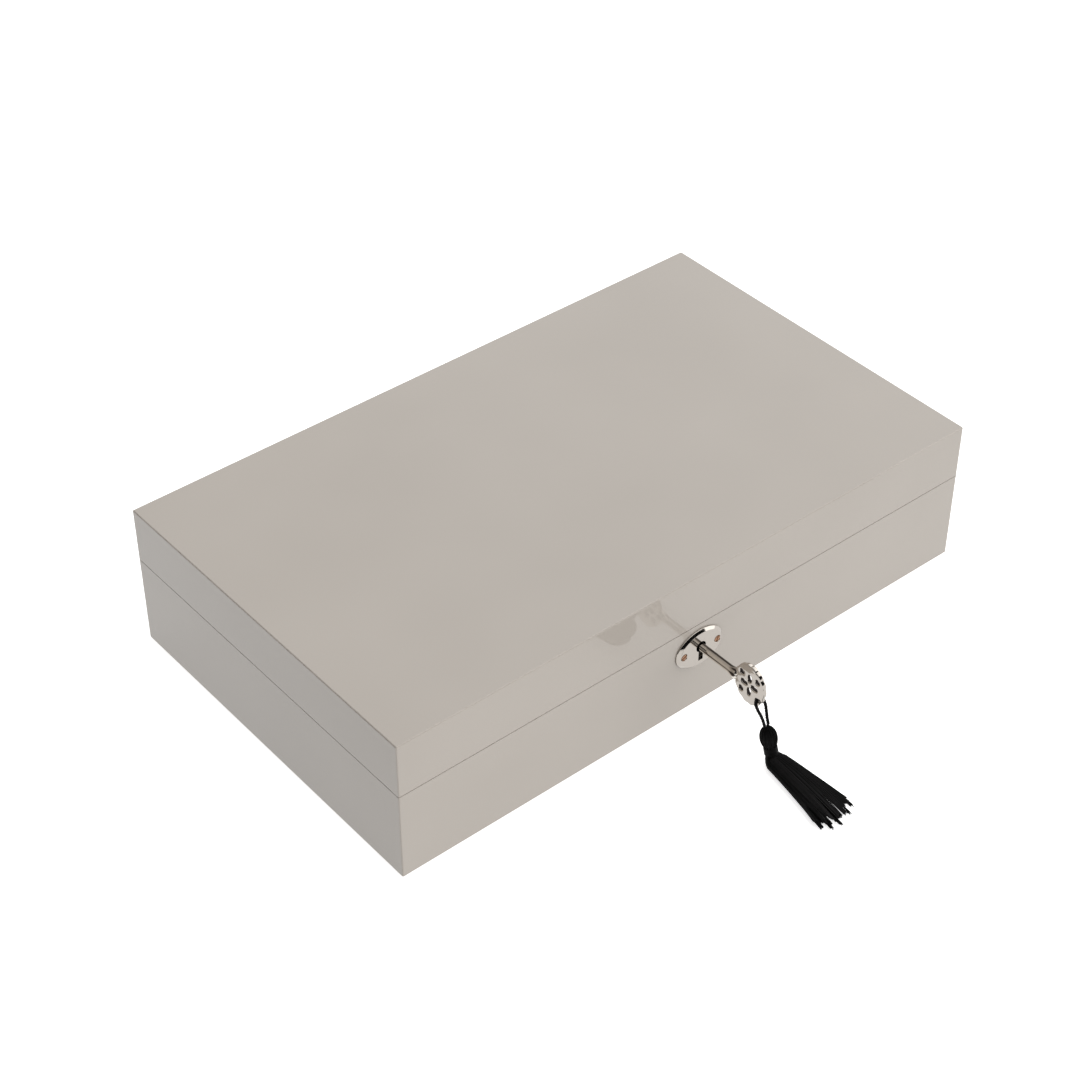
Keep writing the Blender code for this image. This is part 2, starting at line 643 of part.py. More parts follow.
def lock_cam():
    """The disc that the key's bit turns, with the crank pin that moves the bolt."""
    cam = rod("lock_cam", CAM_RADIUS, (0, CAM_FRONT, KEY_Z), (0, CAM_FRONT + CAM_SHEET, KEY_Z),
              STEEL, segments=32)
    lean = CRANK_RADIUS * math.sin(math.pi / 4)
    join(cam, rod("crank_pin", CRANK_PIN, (-lean, CAM_FRONT + CAM_SHEET / 2, KEY_Z + lean),
                  (-lean, BOLT_BACK, KEY_Z + lean), group=CUTTERS, segments=12))
    slot_half = BIT_THICK / 2 + GAP
    cut(cam,
        rod("cam_bore", SHANK + GAP, (0, FRONT_Y, KEY_Z), (0, 0, KEY_Z), group=CUTTERS),
        block("cam_slot", (-slot_half, FRONT_Y, KEY_Z - 2 * CAM_RADIUS), (slot_half, 0, KEY_Z),
              group=CUTTERS))
    return cam


def bow_outlines():
    """The bow's scalloped oval rim, its piercings and the hole for the tassel's cord."""
    count = 8 * BOW_LOBES
    rim = []
    for i in range(count):
        a = 2 * math.pi * i / count
        lobe = BOW_LOBE_HIGH * abs(math.cos(BOW_LOBES * a / 2))
        rim.append(((BOW_HALF[0] + lobe) * math.cos(a), (BOW_HALF[1] + lobe) * math.sin(a)))
    cord_hole = ellipse(CORD_HOLE_RADIUS, CORD_HOLE_RADIUS, 16,
                        CORD_HOLE.y - BOW_Y, CORD_HOLE.z - KEY_Z)
    piercings = []
    for quarter in range(4):
        a = math.radians(90 * quarter)
        wide, high = INNER_PIERCING if quarter % 2 == 0 else reversed(INNER_PIERCING)
        piercings.append(ellipse(wide, high, 16, INNER_PIERCING_OUT[0] * math.cos(a),
                                 INNER_PIERCING_OUT[1] * math.sin(a)))
    for a in (math.radians(45), math.radians(135), math.radians(315)):
        piercings.append(ellipse(OUTER_PIERCING, OUTER_PIERCING, 16,
                                 OUTER_PIERCING_OUT * math.cos(a),
                                 OUTER_PIERCING_OUT * math.sin(a)))
    return [rim, cord_hole, *piercings]


def key():
    """The key: pierced bow, shank with a flare and a bored end, and its bit."""
    bow_start = BOW_Y + BOW_HALF[0]
    shank = rod("key", SHANK, (0, SHANK_END, KEY_Z), (0, bow_start - MM, KEY_Z), NICKEL)
    bow = flat("key_bow", bow_outlines(), BOW_THICK, ALONG_X, Vector((0, BOW_Y, KEY_Z)),
               group=CUTTERS)
    flare = rod("key_flare", FLARE_RADIUS, (0, bow_start - 0.5 * MM, KEY_Z),
                (0, bow_start + FLARE_LONG, KEY_Z), group=CUTTERS, tip=SHANK)
    bit = block("key_bit", (-BIT_THICK / 2, SHANK_END - BIT_LONG, KEY_Z - BIT_REACH),
                (BIT_THICK / 2, SHANK_END, KEY_Z - SHANK / 2), group=CUTTERS)
    join(shank, bow, flare, bit)
    ward_y = SHANK_END - BIT_LONG / 2
    return cut(shank,
               rod("key_bore", KEY_BORE, (0, 0, KEY_Z), (0, SHANK_END - KEY_BORE_LONG, KEY_Z),
                   group=CUTTERS, segments=16),
               block("ward_cut", (-MM, ward_y - WARD_WIDE / 2, KEY_Z - BIT_REACH - MM),
                     (MM, ward_y + WARD_WIDE / 2, KEY_Z - BIT_REACH + WARD_DEEP),
                     group=CUTTERS))


def tassel_loop():
    """The cord loop: through the bow's hole, over its rim on both sides and down to the head."""
    lean = (HEAD_TOP - HEAD_FOOT).normalized()
    foot = HEAD_TOP + lean * GAP
    half = [Vector((1.15 * MM, foot.y, foot.z)),
            Vector((1.5 * MM, -148.8 * MM, 24.8 * MM)),
            Vector((2.45 * MM, -146.8 * MM, 28.7 * MM)),
            Vector((2.45 * MM, -145.0 * MM, 31.5 * MM)),
            Vector((1.2 * MM, -144.2 * MM, 32.3 * MM))]
    other = [Vector((-p.x, p.y, p.z)) for p in reversed(half)]
    route = smooth_route([*half, Vector((0, -144.1 * MM, 32.4 * MM)), *other], 4)
    line = bpy.data.curves.new("tassel_loop", "CURVE")
    line.dimensions = "3D"
    line.bevel_depth = CORD / 2
    line.bevel_resolution = 2
    line.use_fill_caps = True
    spline = line.splines.new("POLY")
    spline.points.add(len(route) - 1)
    for spot, at in zip(spline.points, route):
        spot.co = (*at, 1)
    guide = bpy.data.objects.new("loop_line", line)
    CUTTERS.objects.link(guide)
    return as_mesh("tassel_loop", guide, PARTS, THREAD)


def tassel_head():
    """The knotted head and the binding under it."""
    lean = HEAD_TOP - HEAD_FOOT
    long = lean.length
    arc = [math.pi * i / 12 for i in range(13)]
    profile = [(HEAD_RADIUS * math.sin(a), long * (1 + math.cos(a)) / 2) for a in arc]
    profile[0] = (0, long)
    profile[-1] = (0, 0)
    head = turned("tassel_head", profile, HEAD_FOOT, lean, THREAD)
    down = -lean.normalized()
    top = HEAD_FOOT + down * GAP
    binding = rod("tassel_binding", BINDING[0], top, top + down * BINDING[1], THREAD)
    return head, binding, top + down * (BINDING[1] + GAP), down


def skirt_route(start, down):
    """The skirt's centre line as (point, heading) pairs: a bend on to the table, then a lie."""
    toward = Vector((0, down.z, -down.y))
    centre = start + toward * SKIRT_BEND
    sweep = down.angle(Vector((0, -1, 0)))
    route = []
    for i in range(7):
        a = sweep * i / 6
        spot = centre + (down * math.sin(a) - toward * math.cos(a)) * SKIRT_BEND
        route.append((spot, toward * math.sin(a) + down * math.cos(a)))
    landed = route[-1][0]
    for i in range(1, 11):
        t = i / 10
        spot = landed.lerp(SKIRT_END, t)
        spot.x = SKIRT_END.x * t ** 1.5
        route.append((spot, Vector((-0.1 * t, -1, 0)).normalized()))
    return route


def tassel_skirt(start, down):
    """The skirt of threads: a round bundle that spreads into a flat fan on the table."""
    route = skirt_route(start, down)
    form = bmesh.new()
    rings = []
    for i, (spot, heading) in enumerate(route):
        t = i / (len(route) - 1)
        up = Vector((1, 0, 0)).cross(heading).normalized()
        across = heading.cross(up)
        wide = SKIRT_NECK + (SKIRT_SPREAD - SKIRT_NECK) * t ** 1.3
        high = SKIRT_NECK - SKIRT_THINS * t
        rings.append([form.verts.new(spot + across * u + up * v)
                      for u, v in ellipse(wide, high, 20)])
    for ring, following in zip(rings, rings[1:]):
        for i, vert in enumerate(ring):
            j = (i + 1) % len(ring)
            form.faces.new((vert, ring[j], following[j], following[i]))
    form.faces.new(list(reversed(rings[0])))
    form.faces.new(rings[-1])
    bmesh.ops.recalc_face_normals(form, faces=form.faces)
    return finished("tassel_skirt", form, PARTS, THREAD)


for old in list(bpy.data.objects):
    bpy.data.objects.remove(old)

PARTS = new_collection("jewellery_chest")
CUTTERS = new_collection("cutters")

LACQUER = surface("gloss_lacquer", (0.49, 0.45, 0.42), 0.08)
BOARD = surface("board", (0.35, 0.28, 0.2), 0.8)
FELT_CLOTH = surface("felt", (0.03, 0.028, 0.026), 1.0)
VELVET = surface("velvet", (0.3, 0.27, 0.24), 1.0)
GLASS = surface("mirror_glass", (0.9, 0.9, 0.9), 0.02, 1.0)
STEEL = surface("steel", (0.6, 0.6, 0.58), 0.3, 1.0)
NICKEL = surface("polished_nickel", (0.72, 0.7, 0.66), 0.12, 1.0)
BRASS = surface("brass", (0.45, 0.27, 0.14), 0.35, 1.0)
THREAD = surface("black_thread", (0.01, 0.01, 0.01), 0.7)

# Local X and Y become the piece's Y and Z, or its X and Z with the thickness to the front.
ALONG_X = Matrix(((0, 0, 1, 0), (1, 0, 0, 0), (0, 1, 0, 0), (0, 0, 0, 1)))
FACING_FRONT = Matrix.Rotation(math.pi / 2, 4, "X")

# Head radius, head height, shaft radius and length of each size of screw.
HINGE_SCREW = (1.7 * MM, 1.0 * MM, 0.8 * MM, 8 * MM)
LOCK_SCREW = (1.6 * MM, 0.9 * MM, 0.8 * MM, 7 * MM)
STRIKE_SCREW = (1.6 * MM, 0.9 * MM, 0.8 * MM, 8 * MM)
ESCUTCHEON_SCREW = (1.7 * MM, 1.1 * MM, 0.8 * MM, 6 * MM)

BASE_LEAF_TOP = BASE_TOP - GAP / 2
LID_LEAF_LOW = LID_LOW + GAP / 2
LEAF_SCREW_Y = BACK_Y - LEAF_INSET / 2
ESCUTCHEON_FRONT = FRONT_Y - GAP - ESCUTCHEON[2]
STAPLE_Y = (BOLT_FRONT + BOLT_BACK) / 2

base_carcass()
bottom_and_felt()
wall_linings("base", FLOOR_Z, BASE_TOP - LINING_BELOW_RIM)
inside_of_base()
lock()
escutcheon()
lid_pieces = [*lid(), *hinges(), *strike()]
hang("lid_hinge_axis", HINGE_AXIS, lid_pieces)

key_axis = Vector((0, SHANK_END, KEY_Z))
hang("bolt_line", Vector((0, STAPLE_Y, NOSE_LOW)), [lock_bolt()])
hang("key_axis", key_axis, [lock_cam(), key()])
hang("loop_axis", CORD_HOLE, [tassel_loop()])
head_piece, binding_piece, skirt_start, skirt_down = tassel_head()
swing_axis = HEAD_TOP - skirt_down * SWING_ABOVE_HEAD
hang("tassel_swing_axis", swing_axis,
     [head_piece, binding_piece, tassel_skirt(skirt_start, skirt_down)])
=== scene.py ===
"""A lidded, lockable jewellery chest in gloss lacquer, with its key and black tassel."""
import json
import math
import random

import bmesh
import bpy
from mathutils import Matrix, Vector

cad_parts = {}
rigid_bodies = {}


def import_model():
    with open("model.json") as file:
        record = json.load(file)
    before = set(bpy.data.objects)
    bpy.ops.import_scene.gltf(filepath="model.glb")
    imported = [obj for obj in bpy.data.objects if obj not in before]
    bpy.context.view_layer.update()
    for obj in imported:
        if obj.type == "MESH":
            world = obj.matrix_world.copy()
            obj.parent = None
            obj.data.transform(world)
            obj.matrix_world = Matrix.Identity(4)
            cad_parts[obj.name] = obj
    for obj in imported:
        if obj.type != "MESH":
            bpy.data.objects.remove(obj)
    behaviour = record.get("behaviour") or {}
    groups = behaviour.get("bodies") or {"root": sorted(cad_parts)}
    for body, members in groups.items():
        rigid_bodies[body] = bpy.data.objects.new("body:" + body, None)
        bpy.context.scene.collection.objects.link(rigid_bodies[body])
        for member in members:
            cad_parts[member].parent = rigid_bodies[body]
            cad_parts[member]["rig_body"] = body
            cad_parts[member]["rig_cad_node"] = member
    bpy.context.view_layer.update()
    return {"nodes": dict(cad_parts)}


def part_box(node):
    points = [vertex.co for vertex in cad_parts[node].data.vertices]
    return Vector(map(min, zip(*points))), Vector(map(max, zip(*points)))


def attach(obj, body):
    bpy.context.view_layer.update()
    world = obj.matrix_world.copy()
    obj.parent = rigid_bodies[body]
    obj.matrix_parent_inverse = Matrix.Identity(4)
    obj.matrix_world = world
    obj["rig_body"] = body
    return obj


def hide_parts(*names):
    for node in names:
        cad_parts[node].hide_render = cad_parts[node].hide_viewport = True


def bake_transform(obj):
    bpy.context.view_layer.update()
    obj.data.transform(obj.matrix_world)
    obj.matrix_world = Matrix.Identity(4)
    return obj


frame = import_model()
MM = 0.001

# ---------------------------------------------------------------------------------------------
# Camera.  A long lens from the front left, looking down at the closed chest, so that the lid,
# the lock side and the left end show.
LOOKED_AT = Vector((19.7, 36.5, 1.7)) * MM
CAMERA_AWAY = 1.218
CAMERA_TURN = math.radians(-39.72)
CAMERA_RISE = math.radians(39.74)
LENS_LONG = 78.54
SENSOR_WIDE = 36

lens = bpy.data.cameras.new("camera")
lens.lens = LENS_LONG
lens.sensor_width = SENSOR_WIDE
camera = bpy.data.objects.new("camera", lens)
bpy.context.scene.collection.objects.link(camera)
back = Vector((math.sin(CAMERA_TURN) * math.cos(CAMERA_RISE),
               -math.cos(CAMERA_TURN) * math.cos(CAMERA_RISE), math.sin(CAMERA_RISE)))
camera.location = LOOKED_AT + back * CAMERA_AWAY
camera.rotation_euler = (-back).to_track_quat("-Z", "Y").to_euler()
bpy.context.scene.camera = camera


# ---------------------------------------------------------------------------------------------
# Cord loop of the tassel.  A three-strand black rayon cord, 1.8 mm thick, threaded through the
# hole near the bow's rim, with both ends sewn into the tassel's head.
def linear(code):
    """An sRGB hex colour as linear red, green, blue and alpha."""
    parts = [int(code[i:i + 2], 16) / 255 for i in (1, 3, 5)]
    return [c / 12.92 if c <= 0.04045 else ((c + 0.055) / 1.055) ** 2.4 for c in parts] + [1]


def add(material, kind, settings=None, links=None):
    """Add a node, with its settings by attribute or socket and its inputs' (node, output) links."""
    tree = material.node_tree
    node = tree.nodes.new(kind)
    for name, value in (settings or {}).items():
        if hasattr(node, name):
            setattr(node, name, value)
        else:
            node.inputs[name].default_value = value
    for name, (source, output) in (links or {}).items():
        tree.links.new(source.outputs[output], node.inputs[name])
    return node


def substance(name, code, **sockets):
    """A Principled material: its colour, and other sockets with underscores for spaces."""
    made = bpy.data.materials.new(name)
    made.use_nodes = True
    shader = made.node_tree.nodes["Principled BSDF"]
    shader.inputs["Base Color"].default_value = linear(code)
    for key, value in sockets.items():
        shader.inputs[key.replace("_", " ")].default_value = value
    return made, shader


def feed(material, shader, socket, source, output):
    """Drive one of a shader's sockets from another node."""
    material.node_tree.links.new(source.outputs[output], shader.inputs[socket])


def mottle(material, shader, size, codes, spots=(0.0, 1.0), detail=4.0, distortion=0.0):
    """Colour a material from dark to pale by a noise of one size.  Returns its coordinates and
    its noise, for other uses."""
    coords = add(material, "ShaderNodeTexCoord")
    noise = add(material, "ShaderNodeTexNoise",
                {"Scale": 1 / size, "Detail": detail, "Distortion": distortion},
                {"Vector": (coords, "Object")})
    colour(material, shader, noise, "Fac", codes, spots)
    return coords, noise


def colour(material, shader, source, output, codes, spots):
    """Colour a material from dark to pale by a value, between two spots of its range."""
    shade = add(material, "ShaderNodeValToRGB", links={"Fac": (source, output)})
    for element, code, spot in zip(shade.color_ramp.elements, codes, spots):
        element.color = linear(code)
        element.position = spot
    feed(material, shader, "Base Color", shade, "Color")


def emboss(material, shader, noise, strength, height, socket="Normal"):
    """Raise a material's surface by a noise."""
    relief = add(material, "ShaderNodeBump", {"Strength": strength, "Distance": height},
                 {"Height": (noise, "Fac")})
    feed(material, shader, socket, relief, "Normal")


def vary_roughness(material, shader, noise, low, high):
    """Let a noise move a material's roughness between two values."""
    rough = add(material, "ShaderNodeMapRange", {"To Min": low, "To Max": high},
                {"Value": (noise, "Fac")})
    feed(material, shader, "Roughness", rough, "Result")


def dress(piece, material, body, *nodes, slot=None):
    """Give a piece its material, body and the CAD nodes that it stands for; the slot argument is
    not used.
    """
    piece.data.materials.clear()
    piece.data.materials.append(material)
    if nodes:
        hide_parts(*nodes)
    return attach(piece, body)


def only(*pieces):
    """Select these objects alone, with the first active."""
    bpy.ops.object.select_all(action="DESELECT")
    for piece in pieces:
        piece.select_set(True)
    bpy.context.view_layer.objects.active = pieces[0]


def smooth_route(points, steps):
    """Points on a Catmull-Rom curve through the given ones."""
    ends = [2 * points[0] - points[1], *points, 2 * points[-1] - points[-2]]
    route = []
    for i in range(1, len(points)):
        p0, p1, p2, p3 = ends[i - 1:i + 3]
        for step in range(steps):
            t = step / steps
            route.append(0.5 * (2 * p1 + (p2 - p0) * t + (2 * p0 - 5 * p1 + 4 * p2 - p3) * t ** 2
                                + (3 * p1 - p0 - 3 * p2 + p3) * t ** 3))
    return [*route, points[-1]]


def threads(name, lines, radius, sides=0):
    """One mesh of thin round threads along the given lines of points."""
    data = bpy.data.curves.new(name, "CURVE")
    data.dimensions = "3D"
    data.bevel_depth = radius
    data.bevel_resolution = sides
    data.use_fill_caps = True
    for line in lines:
        spline = data.splines.new("POLY")
        spline.points.add(len(line) - 1)
        for spot, point in zip(spline.points, line):
            spot.co = (*point, 1)
    made = bpy.data.objects.new(name, data)
    bpy.context.scene.collection.objects.link(made)
    only(made)
    bpy.ops.object.convert(target="MESH")
    bpy.ops.object.mode_set(mode="EDIT")
    bpy.ops.mesh.select_all(action="SELECT")
    bpy.ops.mesh.remove_doubles(threshold=0.001 * MM)
    bpy.ops.mesh.normals_make_consistent(inside=False)
    bpy.ops.object.mode_set(mode="OBJECT")
    bpy.ops.object.shade_smooth_by_angle(angle=math.radians(60))
    made.data.name = name
    return made


def twisted(route, strands, offset, pitch):
    """Lines of strands that wind about a route, one turn in each pitch of its length."""
    lines = [[] for _ in range(strands)]
    side = Vector((0, 1, 0))
    travelled = 0.0
    for i, point in enumerate(route):
        ahead = (route[min(i + 1, len(route) - 1)] - route[max(i - 1, 0)]).normalized()
        side = (side - ahead * side.dot(ahead)).normalized()
        other = ahead.cross(side)
        if i:
            travelled += (point - route[i - 1]).length
        for j, line in enumerate(lines):
            a = 2 * math.pi * (travelled / pitch + j / strands)
            line.append(point + (side * math.cos(a) + other * math.sin(a)) * offset)
    return lines


LOOP_THICK = 1.8 * MM
LOOP_PLY = 0.42 * MM
LOOP_PITCH = 4.5 * MM
LOOP_HALF = [(1.15, -150.51, 20.49), (1.5, -148.8, 24.8), (2.45, -146.8, 28.7),
             (2.45, -145.0, 31.5), (1.2, -144.2, 32.3)]

# Rayon embroidery thread, twisted and dyed black: nearly black, with a faint silky light along
# each filament.
black_rayon, shader = substance("black_twisted_rayon", "#050405", Roughness=0.55,
                                Specular_IOR_Level=0.16, Sheen_Weight=0.03,
                                Sheen_Roughness=0.4)
FILAMENT = 0.12 * MM
coords, _ = mottle(black_rayon, shader, 4 * MM, ("#020202", "#090809"), (0.35, 0.75), detail=3.0)
filaments = add(black_rayon, "ShaderNodeTexNoise", {"Scale": 1 / FILAMENT, "Detail": 2.0},
                {"Vector": (coords, "Object")})
emboss(black_rayon, shader, filaments, 0.5, 0.05 * MM)

loop_half = [Vector(p) * MM for p in LOOP_HALF]
loop_other = [Vector((-p.x, p.y, p.z)) for p in reversed(loop_half)]
loop_route = smooth_route([*loop_half, Vector((0, -144.1, 32.4)) * MM, *loop_other], 4)
tassel_loop = threads("tassel_cord_loop", twisted(loop_route, 3, LOOP_PLY, LOOP_PITCH),
                      LOOP_THICK / 2 - LOOP_PLY, sides=2)
tassel_loop.data.materials.append(black_rayon)
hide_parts("tassel_loop")
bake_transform(tassel_loop)


# ---------------------------------------------------------------------------------------------
# Tassel.  A bulb of thread drawn down over a bead, a waist whipped with the same thread, and a
# skirt of cut threads that bends on to the table and fans out there.
def middle(node):
    """The centre of a CAD node's box."""
    low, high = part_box(node)
    return (low + high) / 2


def shrunk_core(name, node, inset):
    """A closed copy of a soft CAD solid, drawn in under the threads that cover it."""
    made = frame["nodes"][node].copy()
    made.data = made.data.copy()
    made.parent = None
    made.name = name
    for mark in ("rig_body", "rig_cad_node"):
        del made[mark]
    bpy.context.scene.collection.objects.link(made)
    only(made)
    bpy.ops.object.mode_set(mode="EDIT")
    bpy.ops.mesh.select_all(action="SELECT")
    bpy.ops.mesh.remove_doubles(threshold=0.01 * MM)
    bpy.ops.transform.shrink_fatten(value=-inset)
    bpy.ops.object.mode_set(mode="OBJECT")
    bpy.ops.object.shade_smooth_by_angle(angle=math.radians(60))
    return made


THREAD = 0.21 * MM
head_centre = middle("tassel_head")
waist_centre = middle("tassel_binding")
tassel_up = (head_centre - waist_centre).normalized()
tassel_side = Vector((1, 0, 0))
tassel_front = tassel_up.cross(tassel_side)
head_low, head_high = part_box("tassel_head")
HEAD_WIDE = (head_high.x - head_low.x) / 2
HEAD_LONG = (waist_centre - head_centre).length * 2 - 2.8 * MM

waist_low, waist_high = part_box("tassel_binding")
WAIST = (waist_high.x - waist_low.x) / 2

# The bulb's threads run as meridians from the cord down under the whipping at the waist.
WAIST_REACH = 1.6 * MM
HEAD_THREADS = 84
HEAD_STEPS = 12
HEAD_TOP_ANGLE = math.radians(14)
HEAD_SWEEP = math.radians(140)
random.seed(7)
meridians = []
for i in range(HEAD_THREADS):
    turn = 2 * math.pi * (i + random.uniform(-0.2, 0.2)) / HEAD_THREADS
    line = []
    for step in range(HEAD_STEPS + 1):
        t = step / HEAD_STEPS
        a = HEAD_TOP_ANGLE + t * HEAD_SWEEP
        out = (HEAD_WIDE - THREAD) * math.sin(a)
        if a > math.radians(90):
            out = max(out, WAIST - THREAD)
        twist = turn + 0.18 * math.sin(2 * t + i)
        up = HEAD_LONG / 2 * math.cos(a) - t ** 6 * WAIST_REACH
        line.append(head_centre + tassel_up * up + tassel_side * (out * math.cos(twist))
                    + tassel_front * (out * math.sin(twist)))
    meridians.append(line)
tassel_head = threads("tassel_head_threads", meridians, THREAD)
head_core = shrunk_core("tassel_head_bulb", "tassel_head", 0.3 * MM)

# The waist is whipped with nine turns of thread.
WHIPPING_TURNS = 9
WHIPPING_SIDES = 18
WHIPPING_HIGH = 3.7 * MM
WHIPPING_BELOW = 0.4
WHIPPING_THREAD = 0.24 * MM
whipping = []
for i in range(WHIPPING_TURNS * WHIPPING_SIDES + 1):
    a = 2 * math.pi * i / WHIPPING_SIDES
    rise = (i / (WHIPPING_TURNS * WHIPPING_SIDES) - WHIPPING_BELOW) * WHIPPING_HIGH
    whipping.append(waist_centre + tassel_up * rise + tassel_side * (WAIST * math.cos(a))
                    + tassel_front * (WAIST * math.sin(a)))
tassel_waist = threads("tassel_waist_whipping", [whipping], WHIPPING_THREAD, sides=1)

# The skirt's threads leave the waist side by side, and gather into locks of sixteen that wander
# apart towards their cut ends.  The tips are cut on a slant, shorter towards +X, and the core
# ends well before them.
SKIRT_LOCKS = 24
LOCK_THREADS = 16
TIP_SLANT = 4.5 * MM
FAN_POWER = 0.85
FAN_CLOSES = 0.10
CORE_SHORT = 15 * MM
SKIRT_STEPS = 9
SKIRT_END_HIGH = 2.9 * MM
SKIRT_BEND = 4 * MM
SKIRT_NECK = 2.75 * MM
SKIRT_SPREAD = 12.2 * MM
SKIRT_LOW = 0.3 * MM
skirt_low, skirt_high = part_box("tassel_skirt")
skirt_end = Vector(((skirt_low.x + skirt_high.x) / 2, skirt_low.y, SKIRT_END_HIGH))


def skirt_frames(steps):
    """The skirt's centre line: for each step a point, its heading and its share of the length."""
    down = -tassel_up
    start = waist_centre + down * 1.4 * MM
    toward = Vector((0, down.z, -down.y))
    centre = start + toward * SKIRT_BEND
    sweep = down.angle(Vector((0, -1, 0)))
    frames = []
    for i in range(5):
        a = sweep * i / 4
        frames.append((centre + (down * math.sin(a) - toward * math.cos(a)) * SKIRT_BEND,
                       toward * math.sin(a) + down * math.cos(a)))
    landed = frames[-1][0]
    for i in range(1, steps + 1):
        t = i / steps
        spot = landed.lerp(skirt_end, t)
        spot.x = skirt_end.x * t ** 1.5
        frames.append((spot, Vector((-0.1 * t, -1, 0)).normalized()))
    return frames


random.seed(11)
centre_line = skirt_frames(SKIRT_STEPS)
skirt_lines = []
for i in range(SKIRT_LOCKS * LOCK_THREADS):
    if i % LOCK_THREADS == 0:
        lock_turn = 2 * math.pi * (i / LOCK_THREADS + random.uniform(-0.3, 0.3)) / SKIRT_LOCKS
        lock_out = random.uniform(0.62, 0.95)
        lock_sway = random.gauss(0, 1.0 * MM)
        lock_cut = random.gauss(-3.2 * MM, 2.4 * MM)
        wander = random.uniform(0, 2 * math.pi)
    a = lock_turn + random.uniform(-1.3, 1.3) * math.pi / SKIRT_LOCKS
    slant = -TIP_SLANT * max(0.0, math.cos(lock_turn) + 0.2)
    r = math.sqrt(random.uniform(0.45, 1.0))
    cut = min(lock_cut + slant + random.gauss(0, 0.7 * MM), 1.2 * MM)
    thin = random.uniform(0.35, 0.6)
    line = []
    for step, (spot, heading) in enumerate(centre_line):
        t = step / (len(centre_line) - 1)
        up = Vector((1, 0, 0)).cross(heading).normalized()
        across = heading.cross(up)
        gather = t * t * (1 - thin)
        u = r * math.cos(a) * (1 - gather) + lock_out * math.cos(lock_turn) * gather
        v = r * math.sin(a) * (1 - gather) + lock_out * math.sin(lock_turn) * gather
        fan = t ** FAN_POWER * (1 - FAN_CLOSES * t * t)
        wide = SKIRT_NECK + (SKIRT_SPREAD - SKIRT_NECK) * fan
        high = SKIRT_NECK - 0.9 * MM * t
        drift = lock_sway * t * t + 0.4 * MM * math.sin(5 * t + wander) * t
        point = spot + across * (wide * u + drift) + up * (high * v) + heading * (cut * t ** 4)
        point.z = max(point.z, SKIRT_LOW + THREAD)
        line.append(point)
    skirt_lines.append(line)
tassel_skirt = threads("tassel_skirt_threads", skirt_lines, THREAD)
skirt_core = shrunk_core("tassel_skirt_core", "tassel_skirt", 0.7 * MM)
only(skirt_core)
bpy.ops.object.mode_set(mode="EDIT")
bpy.ops.mesh.select_all(action="SELECT")
bpy.ops.mesh.bisect(plane_co=(0, skirt_low.y + CORE_SHORT, 0), plane_no=(0, -1, 0),
                    use_fill=True, clear_outer=True)
bpy.ops.object.mode_set(mode="OBJECT")

dress(tassel_head, black_rayon, "tassel", "tassel_head", slot="black_thread")
dress(head_core, black_rayon, "tassel", slot="black_thread")
dress(tassel_waist, black_rayon, "tassel", "tassel_binding", slot="black_thread")
dress(tassel_skirt, black_rayon, "tassel", "tassel_skirt", slot="black_thread")
dress(skirt_core, black_rayon, "tassel", slot="black_thread")


# ---------------------------------------------------------------------------------------------
# Floor and light.  The camera sees a backlit white sweep, and the chest is lit and mirrored by a
# backlit grey card just under it.  The white room is brightest at the upper right front and falls
# off to the left.  A black card in front gives the polished metal its black lines.
def card(name, size, spot, facing, code, glow=0.0):
    """A flat studio card with a width and a height, matt and perhaps backlit."""
    bpy.ops.object.select_all(action="DESELECT")
    bpy.ops.mesh.primitive_plane_add(size=1, location=spot,
                                     rotation=facing.to_track_quat("Z", "Y").to_euler())
    made = bpy.context.object
    made.name = name
    made.scale = (size[0], size[1], 1)
    bpy.ops.object.transform_apply(location=True, rotation=True, scale=True)
    paper, shader = substance(f"{name}_paper", code, Roughness=0.9, Specular_IOR_Level=0.0,
                              Emission_Strength=glow)
    shader.inputs["Emission Color"].default_value = linear("#ffffff")
    made.data.materials.append(paper)
    return made


UPWARD = Vector((0, 0, 1))
FLOOR_WIDE = (8, 8)
sweep = card("floor", FLOOR_WIDE, (0, 0, -0.02 * MM), UPWARD, "#fbfbfb", glow=0.65)
sweep.visible_diffuse = False
sweep.visible_glossy = False
sweep.visible_shadow = False
reflector = card("reflector", FLOOR_WIDE, (0, 0, -0.5 * MM), UPWARD, "#808080", glow=0.77)
reflector.visible_camera = False
flag_spot = Vector((-0.05, -0.84, 0.44))
flag = card("black_flag", (1.7, 0.72), flag_spot, flag_spot, "#050505")
flag.visible_camera = False
flag.visible_diffuse = False
flag.visible_shadow = False

ROOM_MEAN = 0.74
ROOM_DARKEST = 0.02
BRIGHTEST = Vector((1.0, -0.42, 0.40))
room = bpy.data.worlds.new("white_room")
room.use_nodes = True
bpy.context.scene.world = room
around = add(room, "ShaderNodeTexCoord")
lean = add(room, "ShaderNodeVectorMath", {"operation": "DOT_PRODUCT"})
room.node_tree.links.new(around.outputs["Generated"], lean.inputs[0])
lean.inputs[1].default_value = BRIGHTEST
level = add(room, "ShaderNodeMath", {"operation": "ADD"})
room.node_tree.links.new(lean.outputs["Value"], level.inputs[0])
level.inputs[1].default_value = ROOM_MEAN
glow = add(room, "ShaderNodeMath", {"operation": "MAXIMUM"})
room.node_tree.links.new(level.outputs["Value"], glow.inputs[0])
glow.inputs[1].default_value = ROOM_DARKEST
wall = room.node_tree.nodes["Background"]
wall.inputs["Color"].default_value = linear("#ffffff")
room.node_tree.links.new(glow.outputs["Value"], wall.inputs["Strength"])
bpy.context.scene.view_settings.view_transform = "Standard"


